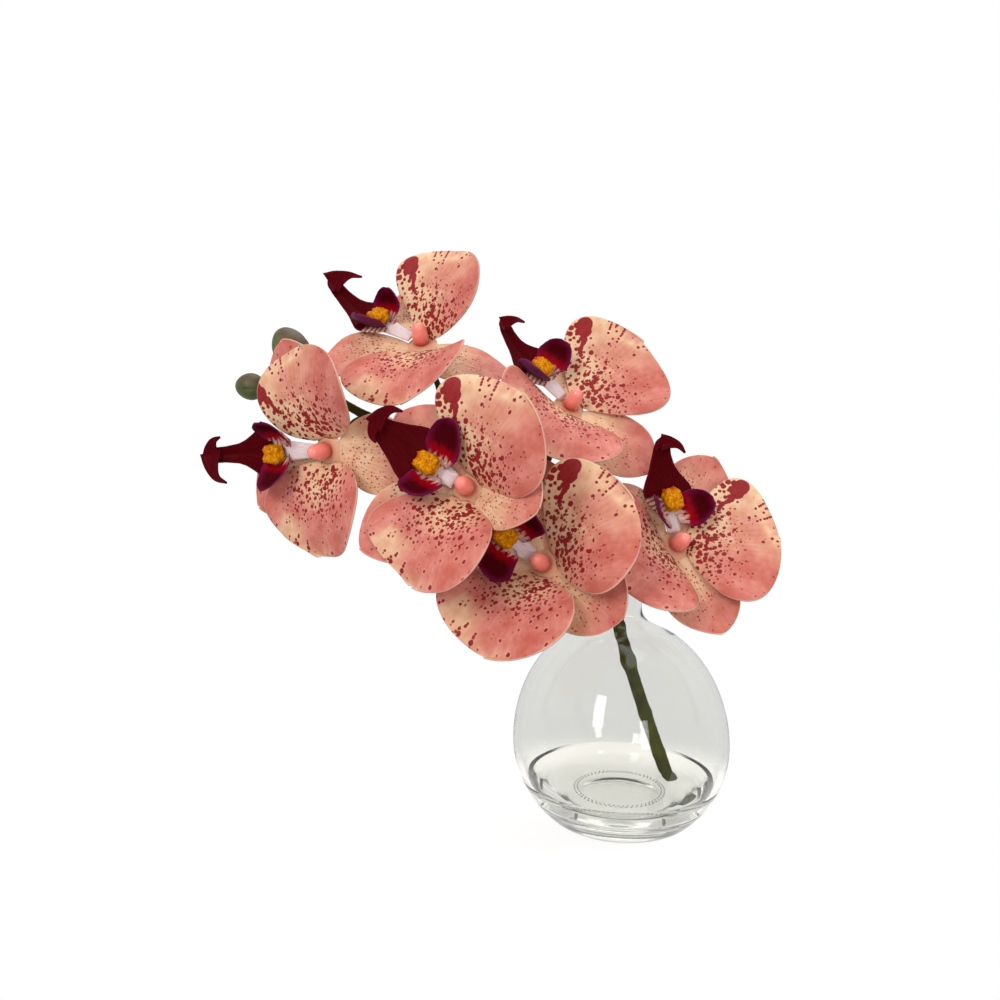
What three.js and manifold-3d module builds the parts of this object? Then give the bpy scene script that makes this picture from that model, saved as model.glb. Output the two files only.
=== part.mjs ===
// Moth orchid spray in a round glass bud vase. Millimetres, +Z up, origin at the middle of the
// vase's foot. The spray leans to the left (-X) and its blooms face the front (-Y).
import * as THREE from 'three';
import { mergeVertices } from 'three/addons/utils/BufferGeometryUtils.js';
import Module from 'manifold-3d';

const wasm = await Module();
wasm.setup();

// Driving dimensions

const SEAT_GAP = 0.3;          // clearance between two pieces that touch

const BODY_RADIUS = 44.5;      // the vase's bulb at its widest
const BODY_MIDDLE = 35;        // height of the widest place
const LOWER_HEIGHT = 41;       // semi-axis of the bulb's lower half, cut off flat at the foot
const UPPER_HEIGHT = 51;       // semi-axis of its upper half
const WALL = 2.4;              // glass thickness
const FLOOR_HEIGHT = 6.5;      // inside bottom of the vase
const NECK_RADIUS = 9.4;
const NECK_START = 88;
const VASE_HEIGHT = 104;
const RIM_RADIUS = 10.6;
const VASE_SEGMENTS = 36;
const WATER_HEIGHT = 20;

const BLADE_THICKNESS = 0.8;   // petals, sepals and lip
const PETAL = { length: 46, halfWidth: 29, rise: 1.35, fullness: 0.56 };
const SEPAL = { length: 42, halfWidth: 17, rise: 1.05, fullness: 0.6 };
const BLADE_START = 4.2;         // where a blade's middle line starts, from the bloom's middle
const HUB_RADIUS = 7.2;
const HUB_BACK = -3;           // the flat back of the hub, where the flower stalk meets it
const HUB_FRONT = 1.6;

const STEM_RADII = [2.8, 2.4, 1.9];
const STALK_RADIUS = 1.4;

// A blade: direction round the bloom's face (90 is the dorsal sepal, 270 the lip), pitch towards
// the front at its base and at its tip, twist, cup, length factor, and the width factors of its
// clockwise and its other half.
const blade = (direction, basePitch, tipPitch, twist, cup, size, low = 1, high = 1) => (
  { direction, basePitch, tipPitch, twist, cup, size, low, high }
);

// How the width of a petal runs when it is broad from its base on.
const BROAD_BASE = { rise: 1.1, fullness: 0.48 };

// The six blooms: hub position, lean back, turn to the right, roll, their five blades, and how
// far the lip reaches, lifts its nose, swings, opens its two side lobes, where these stand, the
// size of its two horns, how far the whole lip is raised, how much nearer the column it starts,
// how full its middle lobe is from 0 to 1, and how far the callus sits to one side.
const BLOOMS = [
  {
    hub: [-86.3, 40, 206], lean: -43, turn: -8, roll: -116,
    lip: {
      reach: 0.85, lift: 12, swing: 0, open: [0, 1.4], lobes: -20, horns: [1.15, 0.35],
      rise: -6, near: -1.5, full: 0.45, crest: 0.2,
    },
    petals: [blade(170, 66, 18, -10, 0.16, 0.98, 0.74, 1), blade(25, 35, -20, 24, 0.22, 1)],
    sepals: [blade(90, -8, 0, -16, 0.03, 1, 1, 0.7), blade(211, 12, 6, 0, 0.06, 0.92),
      blade(322, 8, 6, -6, 0.06, 1)],
  },
  {
    hub: [-18.9, 28, 175.5], lean: -34.5, turn: 21, roll: -141,
    lip: {
      reach: 0.92, lift: 5, swing: 0, open: [1, 1.4], lobes: -20, horns: [0.75, 0.35],
      rise: -5, near: 1.5, full: 0.3, crest: 0.8,
    },
    petals: [blade(174, 35, 16, 2, 0.12, 0.98), blade(10, 57, -21, -5, 0.24, 1)],
    sepals: [blade(90, 6, 0, 11, 0.05, 1.02), blade(203, 10, 4, 0, 0.06, 0.88),
      blade(340, 12, 6, 0, 0.06, 1)],
  },
  {
    hub: [-124, 13, 156], lean: 7, turn: -31, roll: -92.5,
    lip: {
      reach: 1.12, lift: 5, swing: -2, open: [1.4, 3], lobes: -19, horns: [0.85, 1.3],
      rise: 0, near: -0.8, full: 0.25, crest: 1.4,
    },
    petals: [
      { ...blade(187, 48, -22, -8, 0.16, 0.95, 1, 0.84), ...BROAD_BASE },
      { ...blade(0, 42, -19, 12, 0.16, 0.95), ...BROAD_BASE },
    ],
    sepals: [blade(87, 0, -14, -2, 0.06, 1), blade(199, 12, 7, 6, 0.06, 1.1),
      blade(305, 10, 12, 0, 0.06, 0.98)],
  },
  {
    hub: [-62.8, -13, 139.4], lean: -15, turn: -14, roll: -118,
    lip: {
      reach: 0.9, lift: 5, swing: 3, open: [4.4, 2.2], lobes: -17.4, horns: [1.1, 0.6],
      rise: 0, near: 4, full: 1, crest: 0,
    },
    petals: [blade(167, 66, 8, -8, 0.12, 1), blade(7, 55, -22, 26, 0.16, 0.97, 1, 0.93)],
    sepals: [blade(97, 36, 32, -3, 0.07, 0.92, 0.74, 1), blade(252, 14, 9, 0, 0.06, 0.92),
      blade(331, 11, 9, 1, 0.06, 1.06)],
  },
  {
    hub: [-31.4, -2.8, 107.8], lean: -19, turn: -25, roll: -122,
    lip: {
      reach: 0.66, lift: -6, swing: -8, open: [2, 3.4], lobes: -17.4, horns: [0.3, 0.3],
      rise: 36, near: 0, full: 0.2, crest: 0,
    },
    petals: [blade(152, 50, -11, -4, 0.22, 1), blade(18, 61, 2, 4, 0.22, 1.04)],
    sepals: [blade(93, 15, 19, 1, 0.06, 1), blade(222, 12, 7, 0, 0.06, 1),
      blade(322, 12, 6, 0, 0.06, 1)],
  },
  {
    hub: [26.1, 14, 114.4], lean: -23.5, turn: 14.5, roll: -172,
    lip: {
      reach: 0.87, lift: 6, swing: -1, open: [2, 1], lobes: -15, horns: [0.85, 0.4],
      rise: 0, near: 3, full: 0.6, crest: 0,
    },
    petals: [blade(165, 48, 10, -10, 0.1, 0.88), blade(13, 58, -20, 10, 0.24, 0.9)],
    sepals: [blade(92, 12, 22, 4, 0.03, 0.95), blade(232, 11, 10, 4, 0.05, 1),
      blade(326, 12, 4, 0, 0.06, 0.95)],
  },
];

// The stem's middle line, from its cut end in the water to the buds, and where each piece of it ends.
const STEM_LINE = [
  [22.6, 2, 13], [19, 3, 23], [7.8, 1.5, 55], [-0.8, 0, 84], [-2.2, 0, 97], [-8.5, 3.2, 114],
  [-34, 14, 128], [-62, 20, 143], [-90, 24, 160], [-114, 26, 174], [-134, 31, 184],
  [-158.2, 34.6, 185.9],
];

const GLASS = new THREE.MeshStandardMaterial({
  color: 0xdfe3e2, roughness: 0.05, metalness: 0, transparent: true, opacity: 0.35,
});
const WATER = new THREE.MeshStandardMaterial({
  color: 0xe4e8e6, roughness: 0.05, metalness: 0, transparent: true, opacity: 0.35,
});
const PETAL_PINK = new THREE.MeshStandardMaterial({ color: 0xdd8c7d, roughness: 0.6, metalness: 0 });
const LIP_WINE = new THREE.MeshStandardMaterial({ color: 0x500519, roughness: 0.5, metalness: 0 });
const CALLUS_GOLD = new THREE.MeshStandardMaterial({ color: 0xd7960f, roughness: 0.5, metalness: 0 });
const COLUMN_PINK = new THREE.MeshStandardMaterial({ color: 0xeb827d, roughness: 0.3, metalness: 0 });
const STEM_GREEN = new THREE.MeshStandardMaterial({ color: 0x4b501e, roughness: 0.6, metalness: 0 });
const BUD_GREEN = new THREE.MeshStandardMaterial({ color: 0x504b1e, roughness: 0.6, metalness: 0 });

// Solids

const radians = (degrees) => (degrees * Math.PI) / 180;

function merged(geometry) {
  const bare = geometry.clone();
  for (const name of ['normal', 'uv', 'color']) {
    if (bare.hasAttribute(name)) {
      bare.deleteAttribute(name);
    }
  }
  return mergeVertices(bare, 1e-4);
}

function toSolid(geometry) {
  const clean = merged(geometry);
  return new wasm.Manifold(new wasm.Mesh({
    numProp: 3,
    vertProperties: new Float32Array(clean.attributes.position.array),
    triVerts: new Uint32Array(clean.index.array),
  }));
}

function fromSolid(solid) {
  const mesh = solid.getMesh();
  const geometry = new THREE.BufferGeometry();
  geometry.setAttribute('position', new THREE.BufferAttribute(mesh.vertProperties, 3));
  geometry.setIndex(new THREE.BufferAttribute(mesh.triVerts, 1));
  geometry.computeVertexNormals();
  return geometry;
}

function joined(geometries) {
  let solid = toSolid(geometries[0]);
  for (const geometry of geometries.slice(1)) {
    solid = solid.add(toSolid(geometry));
  }
  return fromSolid(solid);
}

// A closed sheet about the surface point(s, t). It is split into triangles alike on both faces.
// The last row runs together in one point when pointed is true.
function sheet(point, rows, columns, thickness, pointed) {
  const positions = [];
  const grid = [];
  const step = 1e-3;
  const normalAt = (s, t) => {
    const s0 = Math.min(s, pointed ? 0.97 : 1 - step);
    const along = point(s0 + step, t).sub(point(s0 - step, t));
    const across = point(s0, t + step).sub(point(s0, t - step));
    return along.cross(across).normalize();
  };
  rows.forEach((s, i) => {
    const tip = pointed && i === rows.length - 1;
    const line = (tip ? [0] : columns).map((t) => {
      const middle = point(s, t);
      const normal = normalAt(s, t).multiplyScalar(thickness / 2);
      const front = middle.clone().add(normal);
      const back = middle.clone().sub(normal);
      const at = positions.length / 3;
      positions.push(front.x, front.y, front.z, back.x, back.y, back.z);
      return [at, at + 1];
    });
    grid.push(line);
  });
  const index = [];
  const face = (a, b, c) => {
    index.push(a[0], b[0], c[0], a[1], c[1], b[1]);
  };
  const last = grid.length - 1;
  for (let i = 0; i < last; i += 1) {
    const near = grid[i];
    const far = grid[i + 1];
    for (let j = 0; j < near.length - 1; j += 1) {
      if (far.length === 1) {
        face(near[j], far[0], near[j + 1]);
      } else {
        face(near[j], far[j], far[j + 1]);
        face(near[j], far[j + 1], near[j + 1]);
      }
    }
  }
  const edge = [
    ...grid.map((line) => line[0]),
    ...(grid[last].length > 1 ? grid[last].slice(1) : []),
    ...grid.slice(0, last).reverse().map((line) => line[line.length - 1]),
    ...grid[0].slice(1, -1).reverse(),
  ];
  edge.forEach((a, k) => {
    const b = edge[(k + 1) % edge.length];
    index.push(b[0], a[0], a[1], b[0], a[1], b[1]);
  });
  const geometry = new THREE.BufferGeometry();
  geometry.setAttribute('position', new THREE.Float32BufferAttribute(positions, 3));
  geometry.setIndex(index);
  geometry.computeVertexNormals();
  return geometry;
}

function tube(points, radius, steps, sides) {
  const outline = [];
  for (let i = 0; i < sides; i += 1) {
    const angle = (2 * Math.PI * i) / sides;
    outline.push(new THREE.Vector2(radius * Math.cos(angle), radius * Math.sin(angle)));
  }
  return new THREE.ExtrudeGeometry(new THREE.Shape(outline), {
    steps,
    curveSegments: 1,
    bevelEnabled: false,
    extrudePath: new THREE.CatmullRomCurve3(points),
  });
}

function knot(centre, radius, stretch, along) {
  const ball = new THREE.SphereGeometry(radius, 7, 4);
  ball.scale(1, stretch, 1);
  const turn = new THREE.Quaternion().setFromUnitVectors(
    new THREE.Vector3(0, 1, 0),
    along.clone().normalize(),
  );
  ball.applyQuaternion(turn);
  ball.translate(centre.x, centre.y, centre.z);
  return ball;
}

function turned(profile, segments) {
  const points = profile.map(([r, z]) => new THREE.Vector2(r, z));
  const lathe = new THREE.LatheGeometry(points, segments);
  lathe.rotateX(Math.PI / 2);
  return lathe;
}

const root = new THREE.Group();

function add(parent, name, geometry, material) {
  const mesh = new THREE.Mesh(merged(geometry), material);
  mesh.name = name;
  parent.add(mesh);
  return mesh;
}

// Vase

function bodyRadius(z, inset) {
  const height = (z < BODY_MIDDLE ? LOWER_HEIGHT : UPPER_HEIGHT) - inset;
  const share = (z - BODY_MIDDLE) / height;
  return (BODY_RADIUS - inset) * Math.sqrt(Math.max(0, 1 - share * share));
}

function vaseProfile() {
  const profile = [[0, 0], [20.5, 0], [22.8, 0.8]];
  for (const z of [4, 12, 23, 36, 50, 62, 72, 79]) {
    profile.push([bodyRadius(z, 0), z]);
  }
  profile.push([14.4, 83], [11, 85.2], [NECK_RADIUS, NECK_START], [NECK_RADIUS, 98]);
  profile.push([RIM_RADIUS - 0.3, 102.6], [RIM_RADIUS, 103.5], [RIM_RADIUS - 0.9, VASE_HEIGHT]);
  profile.push([RIM_RADIUS - 2.3, 103.2], [NECK_RADIUS - WALL, 98], [NECK_RADIUS - WALL, 87]);
  profile.push([11, 81.8]);
  for (const z of [77, 70, 60, 48, 35, 22, 11]) {
    profile.push([bodyRadius(z, WALL), z]);
  }
  profile.push([22, 7.4], [12, FLOOR_HEIGHT], [0, FLOOR_HEIGHT]);
  return profile;
}

add(root, 'vase', turned(vaseProfile(), VASE_SEGMENTS), GLASS);

// Stem

const stemPoints = STEM_LINE.map(([x, y, z]) => new THREE.Vector3(x, y, z));
const stemCurve = new THREE.CatmullRomCurve3(stemPoints);

// Part of the stem's middle line between two of its own points.
function stemPart(from, to) {
  const count = STEM_LINE.length - 1;
  const points = [];
  for (let i = from * 2; i <= to * 2; i += 1) {
    points.push(stemCurve.getPoint(i / 2 / count));
  }
  return points;
}

const bloomFrames = BLOOMS.map((bloom) => {
  const frame = new THREE.Group();
  frame.position.set(...bloom.hub);
  frame.rotation.order = 'ZYX';
  frame.rotation.set(radians(90 + bloom.lean), 0, radians(bloom.turn));
  const face = new THREE.Group();
  face.rotation.z = radians(bloom.roll);
  frame.add(face);
  root.add(frame);
  frame.updateMatrixWorld(true);
  return face;
});

// Where each bloom's stalk leaves the stem, counted along the stem's points, and one point
// that the stalk passes on its way.
const STALKS = [
  { leaves: 7.4, past: [-76, 42, 180] },
  { leaves: 6, past: [-30, 34, 146] },
  { leaves: 8.8, past: [-115, 20, 168] },
  { leaves: 7.6, past: [-70, 8, 153] },
  { leaves: 6, past: [-31, 12, 119] },
  { leaves: 5, past: [5, 24, 112] },
];

function stalk(number) {
  const { leaves, past } = STALKS[number];
  const face = bloomFrames[number];
  const end = face.localToWorld(new THREE.Vector3(0, 0, HUB_BACK - SEAT_GAP));
  const straight = face.localToWorld(new THREE.Vector3(0, 0, HUB_BACK - SEAT_GAP - 4));
  const start = stemCurve.getPoint(leaves / (STEM_LINE.length - 1));
  return tube([start, new THREE.Vector3(...past), straight, end], STALK_RADIUS, 7, 5);
}

const BUDS = [
  { name: 'bud_1', base: [-141, 34, 195], tip: [-152, 38, 213], radius: 8.4 },
  { name: 'bud_2', base: [-158.6, 34.7, 186], tip: [-172.2, 37.4, 186.6], radius: 6.2 },
];

function stemGeometry() {
  const pieces = [
    tube(stemPart(0, 5), STEM_RADII[0], 14, 7),
    tube(stemPart(5, 8), STEM_RADII[1], 7, 7),
    tube(stemPart(8, 11), STEM_RADII[2], 7, 7),
  ];
  for (const [at, size] of [[2.4, 3.2], [5, 3.3], [6, 3], [7, 2.9], [8, 2.8], [8.8, 2.6], [10, 2.4]]) {
    const u = at / (STEM_LINE.length - 1);
    pieces.push(knot(stemCurve.getPoint(u), size, 1.5, stemCurve.getTangent(u)));
  }
  BLOOMS.forEach((bloom, number) => {
    pieces.push(stalk(number));
  });
  const [bud] = BUDS;
  const base = new THREE.Vector3(...bud.base);
  const away = new THREE.Vector3(...bud.tip).sub(base).normalize();
  const end = base.clone().addScaledVector(away, -SEAT_GAP);
  const before = end.clone().addScaledVector(away, -3);
  pieces.push(tube([stemCurve.getPoint(10 / 11), before, end], STALK_RADIUS, 5, 5));
  return joined(pieces);
}

add(root, 'flower_stem', stemGeometry(), STEM_GREEN);

// Water, with a plain hole in which the stem stands

function waterGeometry() {
  const low = bodyRadius(11, WALL);
  const high = bodyRadius(22, WALL);
  const top = low + ((high - low) * (WATER_HEIGHT - 11)) / 11;
  const profile = [[0, FLOOR_HEIGHT + SEAT_GAP], [12, FLOOR_HEIGHT + SEAT_GAP], [21.7, 7.75]];
  profile.push([low - 0.4, 11.2], [top - 0.4, WATER_HEIGHT], [0, WATER_HEIGHT]);
  const body = toSolid(turned(profile, VASE_SEGMENTS));
  const hole = toSolid(tube([
    stemCurve.getPoint(0).add(new THREE.Vector3(0.12, 0, -0.3)),
    stemCurve.getPoint(0.5 / 11),
    stemCurve.getPoint(1 / 11),
    stemCurve.getPoint(1.4 / 11),
  ], STEM_RADII[0] + SEAT_GAP + 0.35, 5, 8));
  return fromSolid(body.subtract(hole));
}

add(root, 'water', waterGeometry(), WATER);

// Buds

for (const bud of BUDS) {
  const base = new THREE.Vector3(...bud.base);
  const tip = new THREE.Vector3(...bud.tip);
  const length = base.distanceTo(tip);
  const r = bud.radius;
  const profile = [[0, 0], [r * 0.34, 0], [r * 0.78, length * 0.14], [r, length * 0.42]];
  profile.push([r * 0.86, length * 0.7], [r * 0.45, length * 0.92], [0, length]);
  const mesh = add(root, bud.name, turned(profile, 12), BUD_GREEN);
  mesh.position.copy(base);
  mesh.quaternion.setFromUnitVectors(new THREE.Vector3(0, 0, 1), tip.clone().sub(base).normalize());
}

// Petals and sepals

const BLADE_ROWS = [0.03, 0.14, 0.3, 0.48, 0.66, 0.84, 0.96, 1];
const BLADE_COLUMNS = [-1, -0.55, 0, 0.55, 1];

function halfWidth(shape, spec, s) {
  const share = Math.min(Math.max(s, 0), 1);
  const rise = spec.rise ?? shape.rise;
  const fullness = spec.fullness ?? shape.fullness;
  return shape.halfWidth * Math.sin(Math.PI * share ** rise) ** fullness;
}

// A point of a blade in the bloom's own frame: X to the right, Y to the dorsal sepal, Z out of
// the face. The middle line is an arc, and the blade twists along it and is cupped across it.
function bladePoint(shape, spec, s, t) {
  const length = shape.length * spec.size;
  const first = radians(spec.basePitch);
  const bend = radians(spec.tipPitch - spec.basePitch);
  const pitch = first + bend * s;
  const out = BLADE_START + (length * (Math.sin(pitch) - Math.sin(first))) / bend;
  const up = (-length * (Math.cos(pitch) - Math.cos(first))) / bend;
  const angle = radians(spec.direction);
  const outward = new THREE.Vector3(Math.cos(angle), Math.sin(angle), 0);
  const sideways = new THREE.Vector3(-Math.sin(angle), Math.cos(angle), 0);
  const forward = new THREE.Vector3(0, 0, 1);
  const normal = outward.clone().multiplyScalar(-Math.sin(pitch))
    .addScaledVector(forward, Math.cos(pitch));
  const twist = radians(spec.twist) * s;
  const across = sideways.clone().multiplyScalar(Math.cos(twist))
    .addScaledVector(normal, Math.sin(twist));
  const raised = normal.clone().multiplyScalar(Math.cos(twist))
    .addScaledVector(sideways, -Math.sin(twist));
  const x = t * halfWidth(shape, spec, s) * (t < 0 ? spec.low : spec.high);
  const lift = (spec.cup * x * x) / shape.halfWidth;
  return outward.multiplyScalar(out).addScaledVector(forward, up)
    .addScaledVector(across, x)
    .addScaledVector(raised, lift);
}

function tepals(bloom) {
  const hub = turned([[0, HUB_BACK], [2.4, HUB_BACK], [HUB_RADIUS - 0.6, 0.4],
    [HUB_RADIUS, 1.4], [HUB_RADIUS - 0.6, 1.8], [4.8, HUB_FRONT], [0, HUB_FRONT]], 10);
  const pieces = [hub];
  const leaf = (shape) => (spec) => {
    pieces.push(sheet((s, t) => bladePoint(shape, spec, s, t), BLADE_ROWS, BLADE_COLUMNS,
      BLADE_THICKNESS, true));
  };
  bloom.sepals.forEach(leaf(SEPAL));
  bloom.petals.forEach(leaf(PETAL));
  return joined(pieces);
}

// Lip: a claw from under the column, two standing side lobes, and a middle lobe like an arrow
// that ends in a nose with two curled horns

const LIP_LINE = new THREE.CatmullRomCurve3([
  new THREE.Vector3(0, -15, 6.4), new THREE.Vector3(0, -23, 8), new THREE.Vector3(0, -33, 9.4),
  new THREE.Vector3(0, -42, 11.6), new THREE.Vector3(0, -49, 14.5),
]);
const SLIM_LIP = [
  [0, 4.6], [0.12, 8.2], [0.24, 10.6], [0.36, 10.6], [0.5, 6.8], [0.64, 3.6], [0.8, 3], [1, 2.6],
];
const FULL_LIP = [
  [0, 4.6], [0.12, 8.6], [0.24, 11.4], [0.36, 12.2], [0.5, 10.6], [0.64, 8], [0.8, 5.6], [1, 3],
];
const CLAW_ROOT = new THREE.Vector3(0, -5.1, 3.1);
const CLAW_REACH = new THREE.Vector3(0, -12.9, 4.1);
const LOBE_WIDTHS = [[0, 4.4], [0.3, 7], [0.6, 8.2], [0.85, 6.6], [1, 2.8]];
const HORN_LINE = [[-1.5, -0.6, 0], [3.4, 0.5, 1.6], [7.2, 3.4, 3.8], [9, 8.4, 5.8]];
const HORN_ROOT = 3.7;         // half width where a horn leaves the nose
const HORN_TIP = 0.6;
const BEND_FROM = 18;          // the lip bends beyond this distance from the bloom's middle
const BEND_LENGTH = 31;

function widthAt(table, s) {
  const next = Math.max(1, table.findIndex(([at]) => at >= s));
  const [s0, w0] = table[next - 1];
  const [s1, w1] = table[next];
  return w0 + ((w1 - w0) * (s - s0)) / (s1 - s0);
}

// A strip along a line, with a width and a side direction, its edges lifted by the curl.
function strip(line, width, sideAt, curl) {
  return (s, t) => {
    const at = Math.min(Math.max(s, 0), 1);
    const middle = line.getPoint(at);
    const side = sideAt(at);
    const up = line.getTangent(at).cross(side).normalize();
    const x = t * width(at);
    return middle.addScaledVector(side, x).addScaledVector(up, curl * x * x);
  };
}

// Each lip reaches out, lifts its nose and swings to one side by its own amount.
function bent(surface, { reach, lift, swing }) {
  return (s, t) => {
    const point = surface(s, t);
    const share = (-point.y - BEND_FROM) / BEND_LENGTH;
    if (share > 0) {
      point.x -= swing * share;
      point.y = -BEND_FROM - BEND_LENGTH * share * reach;
      point.z += lift * share ** 3;
    }
    return point;
  };
}

const acrossX = () => new THREE.Vector3(-1, 0, 0);

function sideLobe(sign, open, place) {
  const root = 6.4 - 0.15 * (place + 15.6);
  const line = new THREE.CatmullRomCurve3([
    new THREE.Vector3(sign * 2.6, place, root),
    new THREE.Vector3(sign * 6.4, place - 0.2, root + 3),
    new THREE.Vector3(sign * (9 + open), place - 0.4, root + 7.8),
    new THREE.Vector3(sign * (10 + 2 * open), place - 0.4, root + 13.4),
  ]);
  const side = () => new THREE.Vector3(0, sign, 0.12 * sign).normalize();
  return sheet(strip(line, (s) => widthAt(LOBE_WIDTHS, s), side, 0.025), [0, 0.3, 0.6, 0.85, 1],
    [-1, 0, 1], BLADE_THICKNESS, false);
}

function horn(sign, bend, size) {
  const line = new THREE.CatmullRomCurve3(HORN_LINE.map(([x, y, z]) => (
    new THREE.Vector3(sign * (0.4 + x * size), y * size - 47.6, z * size + 13.8)
  )));
  const side = (s) => {
    const along = line.getTangent(s);
    return along.cross(new THREE.Vector3(0, 0, 1)).normalize();
  };
  const root = HORN_ROOT * Math.min(1, 0.4 + 0.6 * size);
  const blade = strip(line, (s) => root * (1 - s) + HORN_TIP, side, 0);
  return sheet(bent(blade, bend), [0, 0.35, 0.7, 1], [-1, 1], BLADE_THICKNESS, false);
}

// The lip and what stands on it are raised together about the claw's root.
function raised(geometry, angle) {
  geometry.translate(-CLAW_ROOT.x, -CLAW_ROOT.y, -CLAW_ROOT.z);
  geometry.rotateX(-radians(angle));
  geometry.translate(CLAW_ROOT.x, CLAW_ROOT.y, CLAW_ROOT.z);
  return geometry;
}

// What the claw carries moves along it when the claw is shorter.
function drawnIn(geometry, near) {
  const share = near / CLAW_REACH.y;
  return geometry.translate(0, CLAW_REACH.y * share, CLAW_REACH.z * share);
}

function lip(bend) {
  const width = (s) => widthAt(SLIM_LIP, s) * (1 - bend.full) + widthAt(FULL_LIP, s) * bend.full;
  const blade = strip(LIP_LINE, width, acrossX, -0.012);
  const middle = sheet(bent(blade, bend), SLIM_LIP.map(([s]) => s), [-1, -0.4, 0.4, 1],
    BLADE_THICKNESS, false);
  const reach = 1 + bend.near / CLAW_REACH.y;
  const clawLine = new THREE.LineCurve3(
    CLAW_ROOT,
    CLAW_ROOT.clone().addScaledVector(CLAW_REACH, reach),
  );
  const claw = sheet(strip(clawLine, (s) => 2.9 + 1.7 * s, acrossX, 0.025), [0, 0.5, 1],
    [-1, 0, 1], BLADE_THICKNESS, false);
  const [openLeft, openRight] = bend.open;
  const [hornLeft, hornRight] = bend.horns;
  const carried = [middle,
    sideLobe(-1, openLeft, bend.lobes), sideLobe(1, openRight, bend.lobes),
    horn(-1, bend, hornLeft), horn(1, bend, hornRight)];
  const whole = joined([claw, ...carried.map((geometry) => drawnIn(geometry, bend.near))]);
  return raised(whole, bend.rise);
}

// Callus: a lumpy crest on the lip

function callus(bend) {
  const lump = new THREE.IcosahedronGeometry(1, 1);
  const position = lump.attributes.position;
  for (let i = 0; i < position.count; i += 1) {
    const x = position.getX(i);
    const y = position.getY(i);
    const z = position.getZ(i);
    const swell = 1 + 0.12 * Math.sin(5 * x + 1) * Math.cos(4 * y) + 0.06 * Math.sin(7 * z);
    position.setXYZ(i, x * swell * 4.9, y * swell * 5.4, Math.max(z, -0.75) * swell * 2.9);
  }
  lump.translate(bend.crest, -20.8, 11.5);
  return raised(drawnIn(lump, bend.near), bend.rise);
}

// Column: the glossy knob in the middle

function column() {
  const knob = turned([[0, 0], [3.2, 0], [3.8, 2], [3.5, 5], [2.3, 8.4], [0, 10.4]], 8);
  knob.translate(0, 0, HUB_FRONT + SEAT_GAP);
  return knob;
}

BLOOMS.forEach((bloom, number) => {
  const name = `bloom_${number + 1}`;
  const face = bloomFrames[number];
  add(face, `${name}_tepals`, tepals(bloom), PETAL_PINK);
  add(face, `${name}_lip`, lip(bloom.lip), LIP_WINE);
  add(face, `${name}_callus`, callus(bloom.lip), CALLUS_GOLD);
  add(face, `${name}_column`, column(), COLUMN_PINK);
});

export default root;
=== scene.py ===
import math

import bmesh
import bpy
from mathutils import Matrix, Vector, noise


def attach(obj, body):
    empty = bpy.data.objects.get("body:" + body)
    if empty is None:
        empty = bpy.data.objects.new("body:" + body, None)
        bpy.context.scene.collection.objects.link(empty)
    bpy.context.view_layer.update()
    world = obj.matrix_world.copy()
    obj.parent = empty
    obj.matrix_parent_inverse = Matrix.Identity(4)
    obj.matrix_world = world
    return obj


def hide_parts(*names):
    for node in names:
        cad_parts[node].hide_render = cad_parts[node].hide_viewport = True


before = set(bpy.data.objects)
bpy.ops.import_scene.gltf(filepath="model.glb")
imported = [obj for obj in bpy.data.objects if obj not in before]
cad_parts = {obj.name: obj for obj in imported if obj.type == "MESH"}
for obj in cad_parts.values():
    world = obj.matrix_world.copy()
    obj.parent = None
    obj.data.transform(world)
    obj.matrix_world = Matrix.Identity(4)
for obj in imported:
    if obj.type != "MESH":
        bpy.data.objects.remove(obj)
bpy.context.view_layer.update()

MM = 0.001

# Sizes of the vase, in millimetres

BODY_RADIUS = 44.5
BODY_MIDDLE = 35
LOWER_HEIGHT = 41
UPPER_HEIGHT = 51
WALL = 2.4
FLOOR_HEIGHT = 6.5
NECK_RADIUS = 9.4
VASE_HEIGHT = 104
RIM_RADIUS = 10.6
WATER_HEIGHT = 20
VASE_SIDES = 160
OUTSIDE_HEIGHTS = (4, 8, 12, 18, 24, 30, 36, 43, 50, 56, 62, 67, 72, 76, 79)
INSIDE_HEIGHTS = (79, 77, 74, 70, 65, 60, 54, 48, 42, 35, 29, 22, 16, 11)
PIP_COUNT = 58                 # in each of the two rings of moulded pips on the inside bottom
PIP_RADIUS = 0.4
PIP_RING = 17.65               # radius of the inner ring
PIP_STEP = 1.3                 # from the inner ring to the outer one

# Sizes of the blooms, in millimetres and degrees

PETAL = {"length": 46, "half_width": 29, "rise": 1.35, "fullness": 0.56,
         "ruffle": 1.1, "crease": 0.5}
SEPAL = {"length": 42, "half_width": 17, "rise": 1.05, "fullness": 0.6,
         "ruffle": 0.6, "crease": 0.8}
BLADE_START = 4.2              # from the bloom's middle to where petals and sepals begin
BLADE_GRID = (45, 61)          # points across and along a petal or sepal
CLOTH = 0.6                    # thickness of petals, sepals and lip
HUB_BACK = -3
HUB_FRONT = 1.6
HUB_PROFILE = [(2.4, HUB_BACK), (4.8, -1.9), (6.9, -0.8), (7.3, -0.2), (6.6, 0.3),
               (4.4, HUB_FRONT)]
COLUMN_PROFILE = [(3.2, 0), (3.75, 1.6), (3.6, 4.4), (3.1, 7), (2.3, 9), (1.1, 10.1), (0, 10.4)]
SEAT_GAP = 0.3


def blade(direction, base, tip, twist, cup, size, low=1.0, high=1.0):
    """A petal or sepal: where it points, its pitch at base and tip, its twist, cup and length,
    and how wide its two sides are."""
    return {"direction": direction, "base": base, "tip": tip, "twist": twist, "cup": cup,
            "size": size, "low": low, "high": high}


# How the width of a petal runs when it is broad from its base on
BROAD_BASE = {"rise": 1.1, "fullness": 0.48}

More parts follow.
